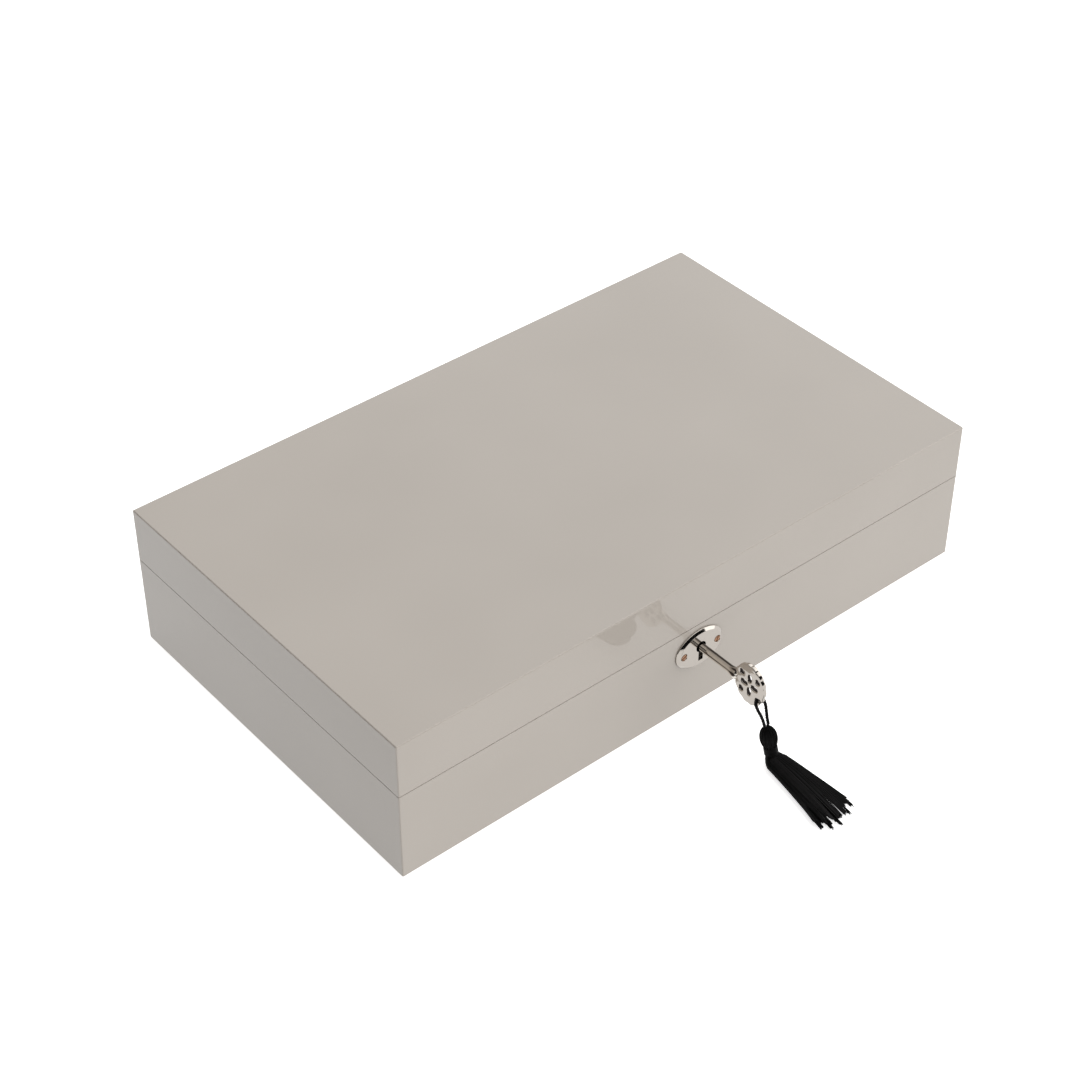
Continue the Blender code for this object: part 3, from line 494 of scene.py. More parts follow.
# ---------------------------------------------------------------------------------------------
# Base.  Fibreboard walls under a thick polyester lacquer, rubbed flat and buffed to a deep
# gloss.  The chest is glued up closed, lacquered and then sawn open, so its faces run through.
def block(name, low, high):
    """A box between two corners, with its place in its mesh."""
    low, high = Vector(low), Vector(high)
    bpy.ops.object.select_all(action="DESELECT")
    bpy.ops.mesh.primitive_cube_add(size=1, location=(low + high) / 2, scale=high - low)
    made = bpy.context.object
    made.name = name
    made.data.name = name
    bpy.ops.object.transform_apply(location=True, rotation=True, scale=True)
    return made


def rod(name, start, end, radius, tip=None, vertices=48):
    """A cylinder or a cone between two points, with its place in its mesh."""
    start, end = Vector(start), Vector(end)
    bpy.ops.object.select_all(action="DESELECT")
    bpy.ops.mesh.primitive_cone_add(vertices=vertices, radius1=radius,
                                    radius2=radius if tip is None else tip,
                                    depth=(end - start).length, location=(start + end) / 2,
                                    rotation=(end - start).to_track_quat("Z", "Y").to_euler())
    made = bpy.context.object
    made.name = name
    made.data.name = name
    bpy.ops.object.transform_apply(location=True, rotation=True, scale=True)
    return made


def carve(piece, *cutters, how="DIFFERENCE"):
    """Cut pieces out of another one, or unite them with it, and remove them."""
    for cutter in cutters:
        step = piece.modifiers.new("carve", "BOOLEAN")
        step.operation = how
        step.object = cutter
        only(piece)
        bpy.ops.object.modifier_apply(modifier=step.name)
        bpy.data.objects.remove(cutter)
    return piece


def soften(piece, width, segments=3, angle=40, even=True):
    """Round a piece's edges, and shade it so that its flat faces stay flat."""
    rounding = piece.modifiers.new("rounding", "BEVEL")
    rounding.width = width
    rounding.segments = segments
    rounding.limit_method = "ANGLE"
    rounding.angle_limit = math.radians(angle)
    rounding.use_clamp_overlap = True
    only(piece)
    bpy.ops.object.modifier_apply(modifier=rounding.name)
    bpy.ops.object.shade_smooth_by_angle(angle=math.radians(angle))
    if even:
        flats = piece.modifiers.new("flats", "WEIGHTED_NORMAL")
        flats.keep_sharp = True
        bpy.ops.object.modifier_apply(modifier=flats.name)
    return piece


# Polyester lacquer over fibreboard.  A warm taupe body colour under a clear, buffed coat with
# the faintest orange peel, about 5 mm from crest to crest.
TAUPE = "#aea69d"
PEEL = 5 * MM
lacquer, shader = substance("buffed_polyester_lacquer", TAUPE, Roughness=0.35,
                            Specular_IOR_Level=0.2, Coat_Weight=1.0, Coat_Roughness=0.02,
                            Coat_IOR=1.5)
coords, _ = mottle(lacquer, shader, 90 * MM, ("#aca49b", "#b0a89f"), (0.3, 0.7), detail=2.0)
peel = add(lacquer, "ShaderNodeTexNoise", {"Scale": 1 / PEEL, "Detail": 1.0},
           {"Vector": (coords, "Object")})
emboss(lacquer, shader, peel, 0.05, 0.05 * MM, socket="Coat Normal")

WALL = 12 * MM
EDGE = 0.7 * MM
LIP = 0.16 * MM
SEAM = 0.28 * MM
HOLE_SPARE = 0.3 * MM
base_low, base_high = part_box("base_carcass")
lid_low, lid_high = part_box("lid_shell")
seam_z = (base_high.z + lid_low.z) / 2
inside_x = base_high.x - WALL
inside_y = base_high.y - WALL
FAR = 0.5


def hinge_recesses(low_z, high_z):
    """Cutters for the two hinge leaves let into the back edge."""
    made = []
    for side in ("left", "right"):
        low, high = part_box(f"hinge_{side}_base_leaf")
        made.append(block("recess", (low.x - HOLE_SPARE, low.y - HOLE_SPARE, low_z),
                          (high.x + HOLE_SPARE, FAR, high_z)))
    return made


def sawn_part(name, low_z, high_z):
    """The closed chest's rounded block, sawn off between two heights."""
    piece = block(name, (base_low.x, base_low.y, base_low.z), (base_high.x, base_high.y,
                                                               lid_high.z))
    soften(piece, EDGE, segments=6, even=False)
    return carve(piece, block("keep", (-FAR, -FAR, low_z), (FAR, FAR, high_z)), how="INTERSECT")


base = sawn_part("base_lacquered", base_low.z, seam_z - SEAM / 2)
board_low, board_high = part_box("bottom_panel")
plate_low, plate_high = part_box("lock_back_plate")
case_low, case_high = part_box("lock_case")
BASE_LEAF_UNDER = 49.0 * MM
carve(base,
      block("hollow", (-inside_x, -inside_y, -FAR), (inside_x, inside_y, FAR)),
      block("rebate", (board_low.x - HOLE_SPARE, board_low.y - HOLE_SPARE, -FAR),
            (board_high.x + HOLE_SPARE, board_high.y + HOLE_SPARE, board_high.z + HOLE_SPARE)),
      block("pocket", (case_low.x - HOLE_SPARE, case_low.y - HOLE_SPARE, case_low.z - HOLE_SPARE),
            (case_high.x + HOLE_SPARE, 0, FAR)),
      block("ledge", (plate_low.x - HOLE_SPARE, plate_low.y - HOLE_SPARE,
                      plate_low.z - HOLE_SPARE), (plate_high.x + HOLE_SPARE, 0, FAR)),
      *hinge_recesses(BASE_LEAF_UNDER, FAR))


KEY_Z = 38 * MM
KEYHOLE_ROUND = 3.0 * MM
KEYHOLE_SLOT = 2.8 * MM
KEYHOLE_DROP = 8.3 * MM
SCREW_SHAFT = 0.8 * MM
SCREW_SHAFT_REACH = 6 * MM


def keyhole(front_y, rear_y):
    """Cutters for a keyhole: a round above and a slot for the bit below."""
    return (rod("round", (0, front_y, KEY_Z), (0, rear_y, KEY_Z), KEYHOLE_ROUND),
            block("slot", (-KEYHOLE_SLOT / 2, front_y, KEY_Z - KEYHOLE_DROP),
                  (KEYHOLE_SLOT / 2, rear_y, KEY_Z)))


def screw_hole(node, direction):
    """A cutter for a screw's shaft, along the screw."""
    spot = middle(node)
    along = Vector(direction) * SCREW_SHAFT_REACH
    return rod("screw_hole", spot - along, spot + along, SCREW_SHAFT + HOLE_SPARE, vertices=24)


carve(base, *keyhole(-FAR, case_low.y))
for side in ("left", "right"):
    carve(base, screw_hole(f"escutcheon_screw_{side}", (0, 1, 0)),
          screw_hole(f"lock_screw_{side}", (0, 1, 0)),
          screw_hole(f"hinge_screw_base_{side}_1", (0, 0, 1)),
          screw_hole(f"hinge_screw_base_{side}_2", (0, 0, 1)))
soften(base, LIP, segments=2)
dress(base, lacquer, "chest_base", "base_carcass", slot="gloss_lacquer")

# The keyhole's bore is coloured near black: painted shade for the dark inside the keyhole, with a
# faint fibre mottle.
keyhole_painted_shade, shader = substance("keyhole_painted_shade_black", "#0d0b0a", Roughness=0.9,
                                  Specular_IOR_Level=0.1)
BOARD_FIBRE = 1.2 * MM
BORE_REACH = (3.2 * MM, 10 * MM)
BORE_EASE = 0.1 * MM
mottle(keyhole_painted_shade, shader, BOARD_FIBRE, ("#080706", "#171311"))
base.data.materials.append(keyhole_painted_shade)
# Faces in the keyhole's bore, picked out by place, take the near-black painted shade.
for face in base.data.polygons:
    near_key = (abs(face.center.x) < BORE_REACH[0]
                and abs(face.center.z - KEY_Z) < BORE_REACH[1])
    if near_key and base_low.y + BORE_EASE < face.center.y < case_low.y + BORE_EASE:
        face.material_index = 1


# ---------------------------------------------------------------------------------------------
# Bottom.  A fibreboard panel glued into the base's rebate, and under it a sheet of black wool
# felt of the same size, which stands half a millimetre below the walls.
bottom = block("bottom_board", board_low, board_high)
soften(bottom, 0.4 * MM, segments=2)
fibreboard, shader = substance("sanded_fibreboard", "#8a7358", Roughness=0.85,
                               Specular_IOR_Level=0.2)
mottle(fibreboard, shader, BOARD_FIBRE, ("#6f5a42", "#9d8668"))
dress(bottom, fibreboard, "chest_base", "bottom_panel", slot="board")

felt_low, felt_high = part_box("base_felt")
felt = block("base_felt_sheet", felt_low, felt_high)
soften(felt, 0.5 * MM, segments=3)
# Pressed wool felt: matt, with a tangle of fibres some 0.4 mm across and a faint grey bloom.
wool_felt, shader = substance("pressed_wool_felt", "#151413", Roughness=1.0,
                              Specular_IOR_Level=0.1, Sheen_Weight=0.3, Sheen_Roughness=0.6)
_, tangle = mottle(wool_felt, shader, 0.8 * MM, ("#0c0b0b", "#2c2927"), detail=5.0,
                   distortion=1.5)
emboss(wool_felt, shader, tangle, 0.8, 0.2 * MM)
dress(felt, wool_felt, "chest_base", "base_felt", slot="felt")


# ---------------------------------------------------------------------------------------------
# Linings and dividers.  Cards and thin boards wrapped in velvet, with the cloth turned round
# their edges and glued behind, then pressed in against the walls and slotted together.
# Cotton velvet: a dense upright pile that shows light and dark where it has been stroked.
VELVET_DEEP = "#5f564d"
VELVET_PALE = "#8d8276"
velvet, shader = substance("cotton_velvet", "#776c61", Roughness=1.0, Specular_IOR_Level=0.1,
                           Sheen_Weight=0.7, Sheen_Roughness=0.35)
shader.inputs["Sheen Tint"].default_value = linear("#cfc4b6")
coords = add(velvet, "ShaderNodeTexCoord")
stroked = add(velvet, "ShaderNodeTexNoise", {"Scale": 1 / (28 * MM), "Detail": 3.0,
                                             "Distortion": 0.8},
              {"Vector": (coords, "Object")})
pile = add(velvet, "ShaderNodeTexNoise", {"Scale": 1 / (0.9 * MM), "Detail": 3.0},
           {"Vector": (coords, "Object")})
mixed = add(velvet, "ShaderNodeMath", {"operation": "MULTIPLY_ADD"},
            {"Value": (pile, "Fac")})
PILE_SHARE = 0.45
mixed.inputs[1].default_value = PILE_SHARE
velvet.node_tree.links.new(stroked.outputs["Fac"], mixed.inputs[2])
colour(velvet, shader, mixed, "Value", (VELVET_DEEP, VELVET_PALE), (0.40, 1.0))
emboss(velvet, shader, pile, 0.7, 0.3 * MM)

CARD_ROUND = 0.8 * MM
DIVIDER_ROUND = 1.5 * MM


def covered_board(node, rounding, body):
    """A velvet-wrapped board that fills a CAD node's box, with soft edges."""
    low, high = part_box(node)
    made = block(f"{node}_velvet", low, high)
    soften(made, rounding, segments=4)
    return dress(made, velvet, body, node, slot="velvet")


for side in ("front", "back", "left", "right"):
    covered_board(f"base_lining_{side}", CARD_ROUND, "chest_base")
covered_board("floor_lining", CARD_ROUND, "chest_base")
for name in ("main", "left", "long", "front", "back"):
    covered_board(f"divider_{name}", DIVIDER_ROUND, "chest_base")


# ---------------------------------------------------------------------------------------------
# Ring rolls.  Five foam rolls wrapped in velvet, standing side by side.  The foam swells between
# its ends and presses the rolls together, so that rings are gripped between them.
ROLL_VOXEL = 2.2 * MM
ROLL_SMALLER = 0.5 * MM
ROLL_SWELL = 0.75 * MM
ROLL_PRESS = 0.08 * MM
CLOTH_FRAMES = 20
roll_low, roll_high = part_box("ring_roll_1")
roll_half = (roll_high.y - roll_low.y) / 2
roll = block("ring_roll_foam", roll_low + Vector((ROLL_SMALLER, ROLL_SMALLER, 0)),
             roll_high - Vector((ROLL_SMALLER,) * 3))
only(roll)
bpy.ops.object.mode_set(mode="EDIT")
bpy.ops.mesh.select_all(action="DESELECT")
form = bmesh.from_edit_mesh(roll.data)
for edge in form.edges:
    ends = [v.co for v in edge.verts]
    edge.select = min(p.z for p in ends) > roll_high.z - 1 * MM and ends[0].y == ends[1].y
bmesh.update_edit_mesh(roll.data)
bpy.ops.mesh.bevel(offset=roll_half - 2 * ROLL_SMALLER, segments=10)
bpy.ops.object.mode_set(mode="OBJECT")
roll.data.remesh_voxel_size = ROLL_VOXEL
only(roll)
bpy.ops.object.voxel_remesh()


def swell(piece, limit, pressure):
    """Blow a remeshed pad up as cloth, keeping each point within a limit of its start."""
    start = [v.co.copy() for v in piece.data.vertices]
    cloth = piece.modifiers.new("cloth", "CLOTH")
    cloth.settings.use_pressure = True
    cloth.settings.uniform_pressure_force = pressure
    cloth.settings.effector_weights.gravity = 0
    for moment in range(1, CLOTH_FRAMES + 1):
        bpy.context.scene.frame_set(moment)
    only(piece)
    bpy.ops.object.modifier_apply(modifier=cloth.name)
    for vert, place in zip(piece.data.vertices, start):
        moved = vert.co - place
        if moved.length > limit:
            vert.co = place + moved.normalized() * limit
    bpy.context.scene.frame_set(1)


swell(roll, ROLL_SWELL, 4)
for vert in roll.data.vertices:
    vert.co.z = max(vert.co.z, roll_low.z)
    vert.co.y = min(max(vert.co.y, roll_low.y - ROLL_PRESS), roll_high.y + ROLL_PRESS)
    vert.co.x = min(max(vert.co.x, roll_low.x), roll_high.x)
smooth = roll.modifiers.new("smooth", "SUBSURF")
smooth.levels = smooth.render_levels = 1
only(roll)
bpy.ops.object.modifier_apply(modifier=smooth.name)
bpy.ops.object.shade_smooth()
for number in range(1, 6):
    copy = roll.copy()
    copy.data = roll.data.copy()
    copy.name = f"ring_roll_{number}_velvet"
    bpy.context.scene.collection.objects.link(copy)
    copy.data.transform(Matrix.Translation(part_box(f"ring_roll_{number}")[0] - roll_low))
    dress(copy, velvet, "chest_base", f"ring_roll_{number}", slot="velvet")
bpy.data.objects.remove(roll)


# ---------------------------------------------------------------------------------------------
# Lock.  A pressed steel case let into the front wall from inside, closed by a back plate on two
# screws.  The key's bit turns the cam, whose crank pin throws the bolt through the staple.
# Satin nickel plate over steel: fine brushed lines some 0.2 mm apart, and a warm grey.
satin_nickel, shader = substance("satin_nickel_plate", "#bdbab2", Metallic=1.0, Roughness=0.32)
coords = add(satin_nickel, "ShaderNodeTexCoord")
lined = add(satin_nickel, "ShaderNodeMapping", {"Scale": (0.05, 1.0, 1.0)},
            {"Vector": (coords, "Object")})
brushed = add(satin_nickel, "ShaderNodeTexNoise", {"Scale": 1 / (0.4 * MM), "Detail": 2.0},
              {"Vector": (lined, "Vector")})
vary_roughness(satin_nickel, shader, brushed, 0.24, 0.42)
emboss(satin_nickel, shader, brushed, 0.15, 0.02 * MM)


def pressed(name, node, rounding, body):
    """A metal part as the CAD node has it, with its flats made whole and its edges eased."""
    made = shrunk_core(name, node, 0)
    bpy.ops.object.mode_set(mode="EDIT")
    bpy.ops.mesh.select_all(action="SELECT")
    bpy.ops.mesh.dissolve_limited(angle_limit=math.radians(1))
    bpy.ops.object.mode_set(mode="OBJECT")
    soften(made, rounding, segments=2, angle=35)
    return dress(made, satin_nickel, body, node, slot="nickel_plated_steel")


def turned(name, profile, foot, direction, sides=64, squeeze=1.0):
    """A closed turned piece from (radius, height) pairs, up a line from its foot."""
    bpy.ops.object.select_all(action="DESELECT")
    bpy.ops.mesh.primitive_circle_add(vertices=sides, radius=profile[0][0],
                                      fill_type="NGON", location=(0, 0, profile[0][1]))
    made = bpy.context.object
    made.name = name
    made.data.name = name
    bpy.ops.object.transform_apply(location=True, rotation=True, scale=True)
    bpy.ops.object.mode_set(mode="EDIT")
    bpy.ops.mesh.select_all(action="SELECT")
    for (r0, z0), (r1, z1) in zip(profile, profile[1:]):
        bpy.ops.mesh.extrude_region_move(TRANSFORM_OT_translate={"value": (0, 0, z1 - z0)})
        bpy.ops.transform.resize(value=(r1 / r0, r1 / r0, 1), center_override=(0, 0, z1))
    bpy.ops.mesh.select_all(action="SELECT")
    bpy.ops.mesh.remove_doubles(threshold=0.001 * MM)
    bpy.ops.mesh.normals_make_consistent(inside=False)
    bpy.ops.object.mode_set(mode="OBJECT")
    made.scale = (1, squeeze, 1)
    made.rotation_euler = Vector(direction).to_track_quat("Z", "Y").to_euler()
    made.location = foot
    bpy.ops.object.transform_apply(location=True, rotation=True, scale=True)
    bpy.ops.object.shade_smooth_by_angle(angle=math.radians(35))
    return made


SCREW_SLOT = 0.6 * MM
SCREW_SLOT_DEEP = 0.4 * MM
SCREW_EASE = 0.15 * MM
SCREW_CONE = 1.0 * MM
SCREW_LAND = 0.2 * MM
SCREW_TIP = (0.3 * MM, 0.8 * MM)


def screw(node, direction, material, slot, body, turn):
    """A countersunk screw in the place of a CAD one, with its slot at a turn of its own."""
    low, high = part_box(node)
    way = Vector(direction)
    size = high - low
    long = abs(size.dot(way))
    head = min(size) / 2
    top = middle(node) + way * long / 2
    made = turned(f"{node}_turned",
                  [(SCREW_TIP[0], -long), (SCREW_SHAFT, -long + SCREW_TIP[1]),
                   (SCREW_SHAFT, -SCREW_CONE), (head, -SCREW_LAND), (head, -SCREW_EASE),
                   (head - SCREW_EASE, 0)], top, way, sides=32)
    blade = block("blade", (-2 * head, -SCREW_SLOT / 2, -SCREW_SLOT_DEEP),
                  (2 * head, SCREW_SLOT / 2, MM))
    blade.data.transform(Matrix.Translation(top)
                         @ way.to_track_quat("Z", "Y").to_matrix().to_4x4()
                         @ Matrix.Rotation(turn, 4, "Z"))
    carve(made, blade)
    soften(made, 0.05 * MM, segments=1, angle=50)
    return dress(made, material, body, node, slot=slot)


pressed("lock_case_pressing", "lock_case", 0.15 * MM, "chest_base")
pressed("lock_back_plate_sheet", "lock_back_plate", 0.12 * MM, "chest_base")
pressed("lock_bolt_sheet", "lock_bolt", 0.1 * MM, "lock_bolt")
pressed("lock_cam_disc", "lock_cam", 0.1 * MM, "lock_cam")
pin_low, pin_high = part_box("drill_pin")
PIN = (pin_high.x - pin_low.x) / 2
drill_pin = turned("drill_pin_turned", [(PIN, 0), (PIN, pin_high.y - pin_low.y - 0.6 * MM),
                                        (PIN / 2, pin_high.y - pin_low.y)],
                   (0, pin_high.y, KEY_Z), (0, -1, 0), sides=24)
dress(drill_pin, satin_nickel, "chest_base", "drill_pin", slot="nickel_plated_steel")
screw("lock_screw_left", (0, 1, 0), satin_nickel, "nickel_plated_steel", "chest_base", 0.5)
screw("lock_screw_right", (0, 1, 0), satin_nickel, "nickel_plated_steel", "chest_base", -0.9)


# ---------------------------------------------------------------------------------------------
# Escutcheon.  An oval plate of polished nickel with a bevelled rim, held by two browned brass
# screws sunk beside the keyhole.
# Polished nickel: a warm mirror with faint buffing swirls about 3 mm long.
polished_nickel, shader = substance("polished_nickel", "#c9c2ba", Metallic=1.0, Roughness=0.1)
coords = add(polished_nickel, "ShaderNodeTexCoord")
swirls = add(polished_nickel, "ShaderNodeTexNoise", {"Scale": 1 / (3 * MM), "Detail": 6.0,
                                                     "Roughness": 0.7},
             {"Vector": (coords, "Object")})
vary_roughness(polished_nickel, shader, swirls, 0.04, 0.14)

# Browned brass: darkened by lacquer and handling, with a worn, brighter bloom.
browned_brass, shader = substance("browned_brass", "#a87c60", Metallic=1.0, Roughness=0.4)
mottle(browned_brass, shader, 1.5 * MM, ("#8a5c42", "#c9a184"))

oval_low, oval_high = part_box("escutcheon")
oval_half = (oval_high - oval_low) / 2
PLATE_THICK = oval_half.y * 2
SINK_BEFORE = 0.3 * MM
SINK_DEEP = 1.4 * MM
SINK_WIDE = 2.3 * MM
SINK_TIP = 1.0 * MM
SCREW_BORE = 1.1 * MM
rim = [(oval_half.x, 0), (oval_half.x, 0.35 * MM), (oval_half.x - 0.1 * MM, 0.5 * MM),
       (oval_half.x - 1.5 * MM, PLATE_THICK - 0.1 * MM), (oval_half.x - 1.8 * MM, PLATE_THICK)]
escutcheon = turned("escutcheon_plate", rim, (0, oval_high.y, middle("escutcheon").z),
                    (0, -1, 0), sides=128, squeeze=oval_half.z / oval_half.x)
carve(escutcheon, *keyhole(-FAR, 0))
for side in ("left", "right"):
    spot = middle(f"escutcheon_screw_{side}")
    carve(escutcheon, rod("sink", (spot.x, oval_low.y - SINK_BEFORE, spot.z),
                          (spot.x, oval_low.y + SINK_DEEP, spot.z), SINK_WIDE, tip=SINK_TIP),
          rod("bore", (spot.x, -FAR, spot.z), (spot.x, 0, spot.z), SCREW_BORE))
soften(escutcheon, 0.12 * MM, segments=2, angle=45)
dress(escutcheon, polished_nickel, "chest_base", "escutcheon", slot="polished_nickel")
screw("escutcheon_screw_left", (0, -1, 0), browned_brass, "brass", "chest_base", 0.4)
screw("escutcheon_screw_right", (0, -1, 0), browned_brass, "brass", "chest_base", 1.3)


# ---------------------------------------------------------------------------------------------
# Key.  A cast and polished nickel bow, pierced and scalloped round its rim, on a turned shank
# that is bored for the drill pin and carries a warded bit.
SHANK = 2 * MM
BOW_Y = -138.5 * MM
BOW_HALF = (9.3 * MM, 11.2 * MM)
BOW_LOBES = 14
BOW_LOBE_HIGH = 0.4 * MM
BOW_THICK = 2.4 * MM
BOW_EDGE = 0.7 * MM
CORD_HOLE = (-144.2 * MM, 32.0 * MM, 1.5 * MM)
BIT = (1.6 * MM, 4.1 * MM, 7.8 * MM)
WARD_HALF = 0.4 * MM
WARD_DEEP = 3 * MM
KEY_BORE = 1.2 * MM
KEY_BORE_LONG = 10 * MM
LOBE_STEPS = 12
INNER_PIERCING = (2.2 * MM, 1.3 * MM)
INNER_PIERCING_OUT = (3.3 * MM, 3.9 * MM)
OUTER_PIERCING = 1.4 * MM
OUTER_PIERCING_OUT = 7.2 * MM
shank_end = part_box("key")[1].y


def oval(half_u, half_v, u, v, count=32):
    """Points round an ellipse, for a curve's outline."""
    turns = [2 * math.pi * i / count for i in range(count)]
    return [(u + half_u * math.cos(a), v + half_v * math.sin(a)) for a in turns]


# The shank swells towards the bow and then closes in again on the bow's rim.
bow_start = BOW_Y + BOW_HALF[0]
shank_long = shank_end - bow_start + 1.6 * MM
profile = [(1.75 * MM, 0), (SHANK, 0.25 * MM), (SHANK, shank_long - 6.1 * MM),
           (2.15 * MM, shank_long - 4.9 * MM), (2.45 * MM, shank_long - 3.4 * MM),
           (2.75 * MM, shank_long - 2.0 * MM), (2.7 * MM, shank_long - 1.2 * MM),
           (1.9 * MM, shank_long - 0.4 * MM), (1.2 * MM, shank_long)]
shank = turned("key_shank", profile, (0, shank_end, KEY_Z), (0, -1, 0), sides=48)
bit = block("bit", (-BIT[0] / 2, shank_end - BIT[1], KEY_Z - BIT[2]),
            (BIT[0] / 2, shank_end - 0.05 * MM, KEY_Z - SHANK / 2))
carve(bit, block("ward", (-MM, shank_end - BIT[1] / 2 - WARD_HALF, 0),
                 (MM, shank_end - BIT[1] / 2 + WARD_HALF, KEY_Z - BIT[2] + WARD_DEEP)))
carve(shank, bit, how="UNION")
carve(shank, rod("bore", (0, shank_end - KEY_BORE_LONG, KEY_Z), (0, 0, KEY_Z), KEY_BORE))
soften(shank, 0.1 * MM, segments=2, angle=50)

# Nickel rod for the shank: bright, with dark and bright streaks some 0.8 mm apart that run the
# whole length; the streaks are painted reflections, the shank's highlight and dark lines set into
# its colour.
shank_nickel_painted_reflections, shader = substance("nickel_rod_painted_reflections", "#a9a199", Metallic=1.0, Roughness=0.12)
coords = add(shank_nickel_painted_reflections, "ShaderNodeTexCoord")
lengthwise = add(shank_nickel_painted_reflections, "ShaderNodeMapping", {"Scale": (1.0, 0.02, 1.0)},
                 {"Vector": (coords, "Object")})
painted_reflection_streaks = add(shank_nickel_painted_reflections, "ShaderNodeTexNoise", {"Scale": 1 / (1.7 * MM), "Detail": 1.0},
                {"Vector": (lengthwise, "Vector")})
# Painted reflections: dark and bright streaks along the shank in place of its highlight and its
# dark reflected lines.
colour(shank_nickel_painted_reflections, shader, painted_reflection_streaks, "Fac", ("#3f3935", "#efe8df"), (0.43, 0.60))
dress(shank, shank_nickel_painted_reflections, "key", "key", slot="polished_nickel")

# The bow's outline, its cord hole, four ovals round its middle and three rounds outside them.
scallops = []
for i in range(LOBE_STEPS * BOW_LOBES):
    a = 2 * math.pi * i / (LOBE_STEPS * BOW_LOBES)
    lobe = BOW_LOBE_HIGH * abs(math.cos(BOW_LOBES * a / 2))
    scallops.append(((BOW_HALF[0] + lobe) * math.cos(a), (BOW_HALF[1] + lobe) * math.sin(a)))
outlines = [scallops, oval(CORD_HOLE[2], CORD_HOLE[2], CORD_HOLE[0] - BOW_Y,
                           CORD_HOLE[1] - KEY_Z)]
for quarter in range(4):
    a = math.radians(90 * quarter)
    wide, high = INNER_PIERCING if quarter % 2 == 0 else reversed(INNER_PIERCING)
    outlines.append(oval(wide, high, INNER_PIERCING_OUT[0] * math.cos(a),
                         INNER_PIERCING_OUT[1] * math.sin(a)))
for a in (math.radians(45), math.radians(135), math.radians(315)):
    outlines.append(oval(OUTER_PIERCING, OUTER_PIERCING, OUTER_PIERCING_OUT * math.cos(a),
                         OUTER_PIERCING_OUT * math.sin(a)))
drawing = bpy.data.curves.new("key_bow", "CURVE")
drawing.dimensions = "2D"
drawing.fill_mode = "BOTH"
drawing.extrude = BOW_THICK / 2 - BOW_EDGE
drawing.bevel_depth = BOW_EDGE
drawing.bevel_resolution = 3
drawing.offset = -BOW_EDGE
for outline in outlines:
    spline = drawing.splines.new("POLY")
    spline.points.add(len(outline) - 1)
    for spot, (u, v) in zip(spline.points, outline):
        spot.co = (u, v, 0, 1)
    spline.use_cyclic_u = True
bow = bpy.data.objects.new("key_bow", drawing)
bpy.context.scene.collection.objects.link(bow)
only(bow)
bpy.ops.object.convert(target="MESH")
bow.rotation_euler = (math.radians(90), 0, math.radians(90))
bow.location = (0, BOW_Y, KEY_Z)
bpy.ops.object.transform_apply(location=True, rotation=True, scale=True)
bpy.ops.object.mode_set(mode="EDIT")
bpy.ops.mesh.select_all(action="SELECT")
bpy.ops.mesh.remove_doubles(threshold=0.005 * MM)
bpy.ops.mesh.normals_make_consistent(inside=False)
bpy.ops.object.mode_set(mode="OBJECT")
bpy.ops.object.shade_smooth_by_angle(angle=math.radians(50))
bow.data.name = "key_bow"
dress(bow, polished_nickel, "key", slot="polished_nickel")

# The walls of the piercings are coloured a dark grey-brown: painted shade for the dark holes of the
# bow.
piercing_painted_shade, shader = substance("piercing_walls_painted_shade", "#2a2220", Metallic=0.6, Roughness=0.6)
mottle(piercing_painted_shade, shader, 0.5 * MM, ("#17110f", "#3c312d"), detail=3.0)
SIDEWAYS = 0.35
WITHIN_RIM = 0.93
bow.data.materials.append(piercing_painted_shade)
# Sideways faces inside the rim, the piercings' walls, take the dark painted shade.
for face in bow.data.polygons:
    out_y = (face.center.y - BOW_Y) / BOW_HALF[0]
    out_z = (face.center.z - KEY_Z) / BOW_HALF[1]
    if abs(face.normal.x) < SIDEWAYS and math.hypot(out_y, out_z) < WITHIN_RIM:
        face.material_index = 1


# ---------------------------------------------------------------------------------------------
# Hinges.  Two butt hinges let into the sawn edges at the back, each with three knuckles on a
# loose pin behind the wall and two screws in each leaf.
for side in ("left", "right"):
    pressed(f"hinge_{side}_base_plate", f"hinge_{side}_base_leaf", 0.12 * MM, "chest_base")
    pressed(f"hinge_{side}_lid_plate", f"hinge_{side}_lid_leaf", 0.12 * MM, "lid")
    low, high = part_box(f"hinge_{side}_pin")
    radius = (high.y - low.y) / 2
    pin = turned(f"hinge_{side}_pin_turned",
                 [(radius / 2, 0), (radius, 0.3 * MM), (radius, high.x - low.x - 0.3 * MM),
                  (radius / 2, high.x - low.x)],
                 (low.x, (low.y + high.y) / 2, (low.z + high.z) / 2), (1, 0, 0), sides=24)
    dress(pin, satin_nickel, "chest_base", f"hinge_{side}_pin", slot="nickel_plated_steel")
    for number, turn in ((1, 0.3), (2, 1.1)):
        screw(f"hinge_screw_base_{side}_{number}", (0, 0, 1), satin_nickel,
              "nickel_plated_steel", "chest_base", turn)
        screw(f"hinge_screw_lid_{side}_{number}", (0, 0, -1), satin_nickel,
              "nickel_plated_steel", "lid", -turn)


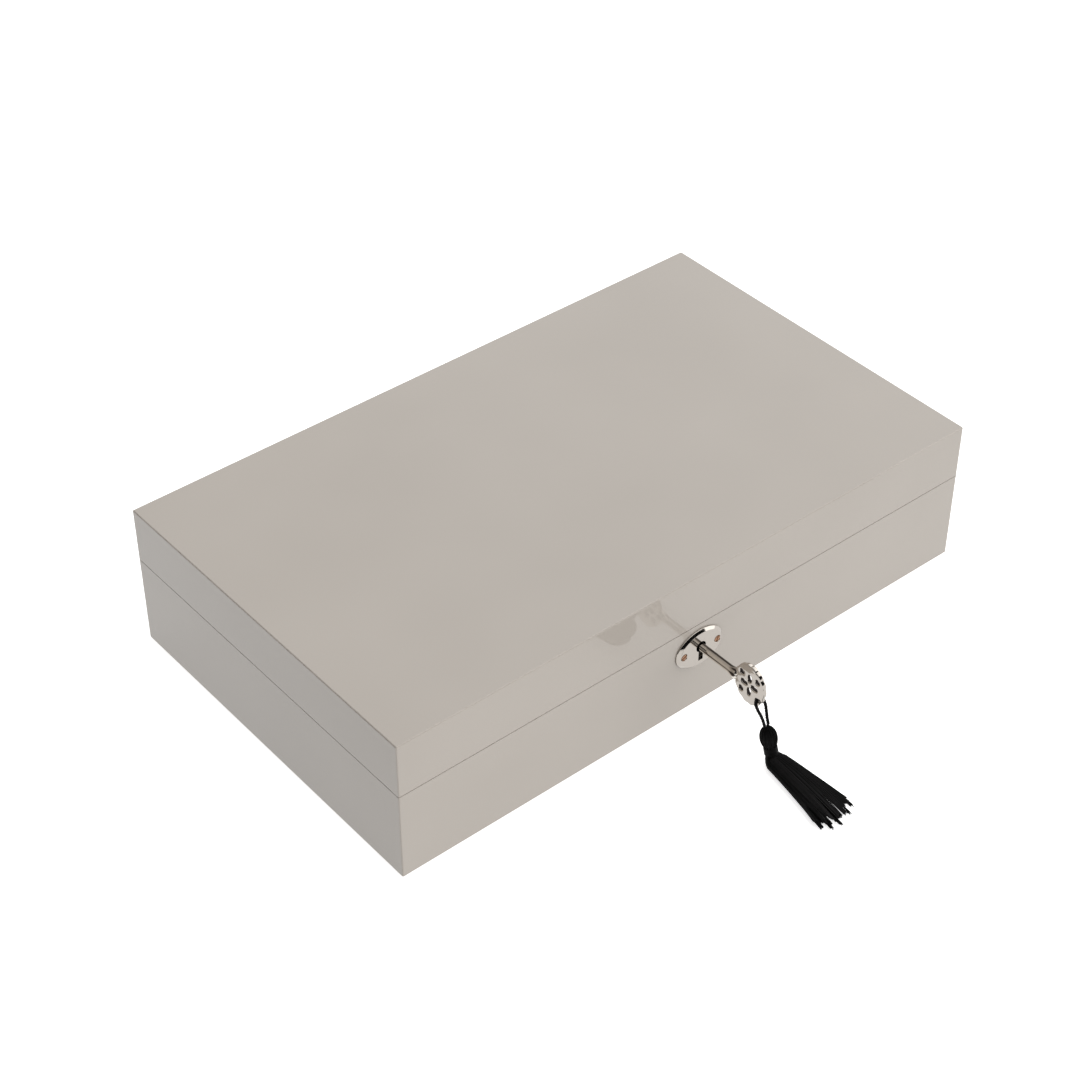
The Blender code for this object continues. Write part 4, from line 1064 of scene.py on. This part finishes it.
# ---------------------------------------------------------------------------------------------
# Lid.  The sawn-off top of the same lacquered block, recessed for the hinges and for the strike
# plate, whose staple drops into the lock.
lid = sawn_part("lid_lacquered", seam_z + SEAM / 2, 2 * lid_high.z)
LID_CEILING = 71.9 * MM
LID_LEAF_TOP = 52.4 * MM
strike_low, strike_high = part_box("strike_plate")
carve(lid,
      block("hollow", (-inside_x, -inside_y, 0), (inside_x, inside_y, LID_CEILING)),
      block("recess", (strike_low.x - HOLE_SPARE, strike_low.y - HOLE_SPARE, 0),
            (strike_high.x + HOLE_SPARE, strike_high.y + HOLE_SPARE,
             strike_high.z + HOLE_SPARE)),
      *hinge_recesses(0, LID_LEAF_TOP))
for side in ("left", "right"):
    carve(lid, screw_hole(f"strike_screw_{side}", (0, 0, 1)),
          screw_hole(f"hinge_screw_lid_{side}_1", (0, 0, 1)),
          screw_hole(f"hinge_screw_lid_{side}_2", (0, 0, 1)))
soften(lid, LIP, segments=2)
dress(lid, lacquer, "lid", "lid_shell", slot="gloss_lacquer")
pressed("strike_plate_sheet", "strike_plate", 0.12 * MM, "lid")
screw("strike_screw_left", (0, 0, -1), satin_nickel, "nickel_plated_steel", "lid", 0.2)
screw("strike_screw_right", (0, 0, -1), satin_nickel, "nickel_plated_steel", "lid", 1.4)


# ---------------------------------------------------------------------------------------------
# Lid lining and mirror.  Velvet cards line the lid, and four foam-padded velvet rails hold a
# silvered mirror with ground edges against the lid's board.
for side in ("front", "back", "left", "right"):
    covered_board(f"lid_lining_{side}", CARD_ROUND, "lid")

mirror_low, mirror_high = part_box("lid_mirror")
for side in ("front", "back", "left", "right"):
    low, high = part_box(f"mirror_frame_{side}")
    rail = block(f"mirror_rail_{side}", low, high)
    carve(rail, block("rebate", (mirror_low.x - HOLE_SPARE, mirror_low.y - HOLE_SPARE,
                                 mirror_low.z - HOLE_SPARE),
                      (mirror_high.x + HOLE_SPARE, mirror_high.y + HOLE_SPARE, FAR)))
    soften(rail, 0.9 * MM, segments=4)
    dress(rail, velvet, "lid", f"mirror_frame_{side}", slot="velvet")

mirror = block("lid_mirror_plate", mirror_low, mirror_high)
soften(mirror, 0.4 * MM, segments=1)
# Float glass silvered behind: a clean mirror with a trace of green.
silvered_glass, shader = substance("silvered_float_glass", "#e4e9e6", Metallic=1.0,
                                   Roughness=0.015)
coords = add(silvered_glass, "ShaderNodeTexCoord")
film = add(silvered_glass, "ShaderNodeTexNoise", {"Scale": 1 / (60 * MM), "Detail": 3.0},
           {"Vector": (coords, "Object")})
vary_roughness(silvered_glass, shader, film, 0.005, 0.03)
dress(mirror, silvered_glass, "lid", "lid_mirror", slot="mirror_glass")
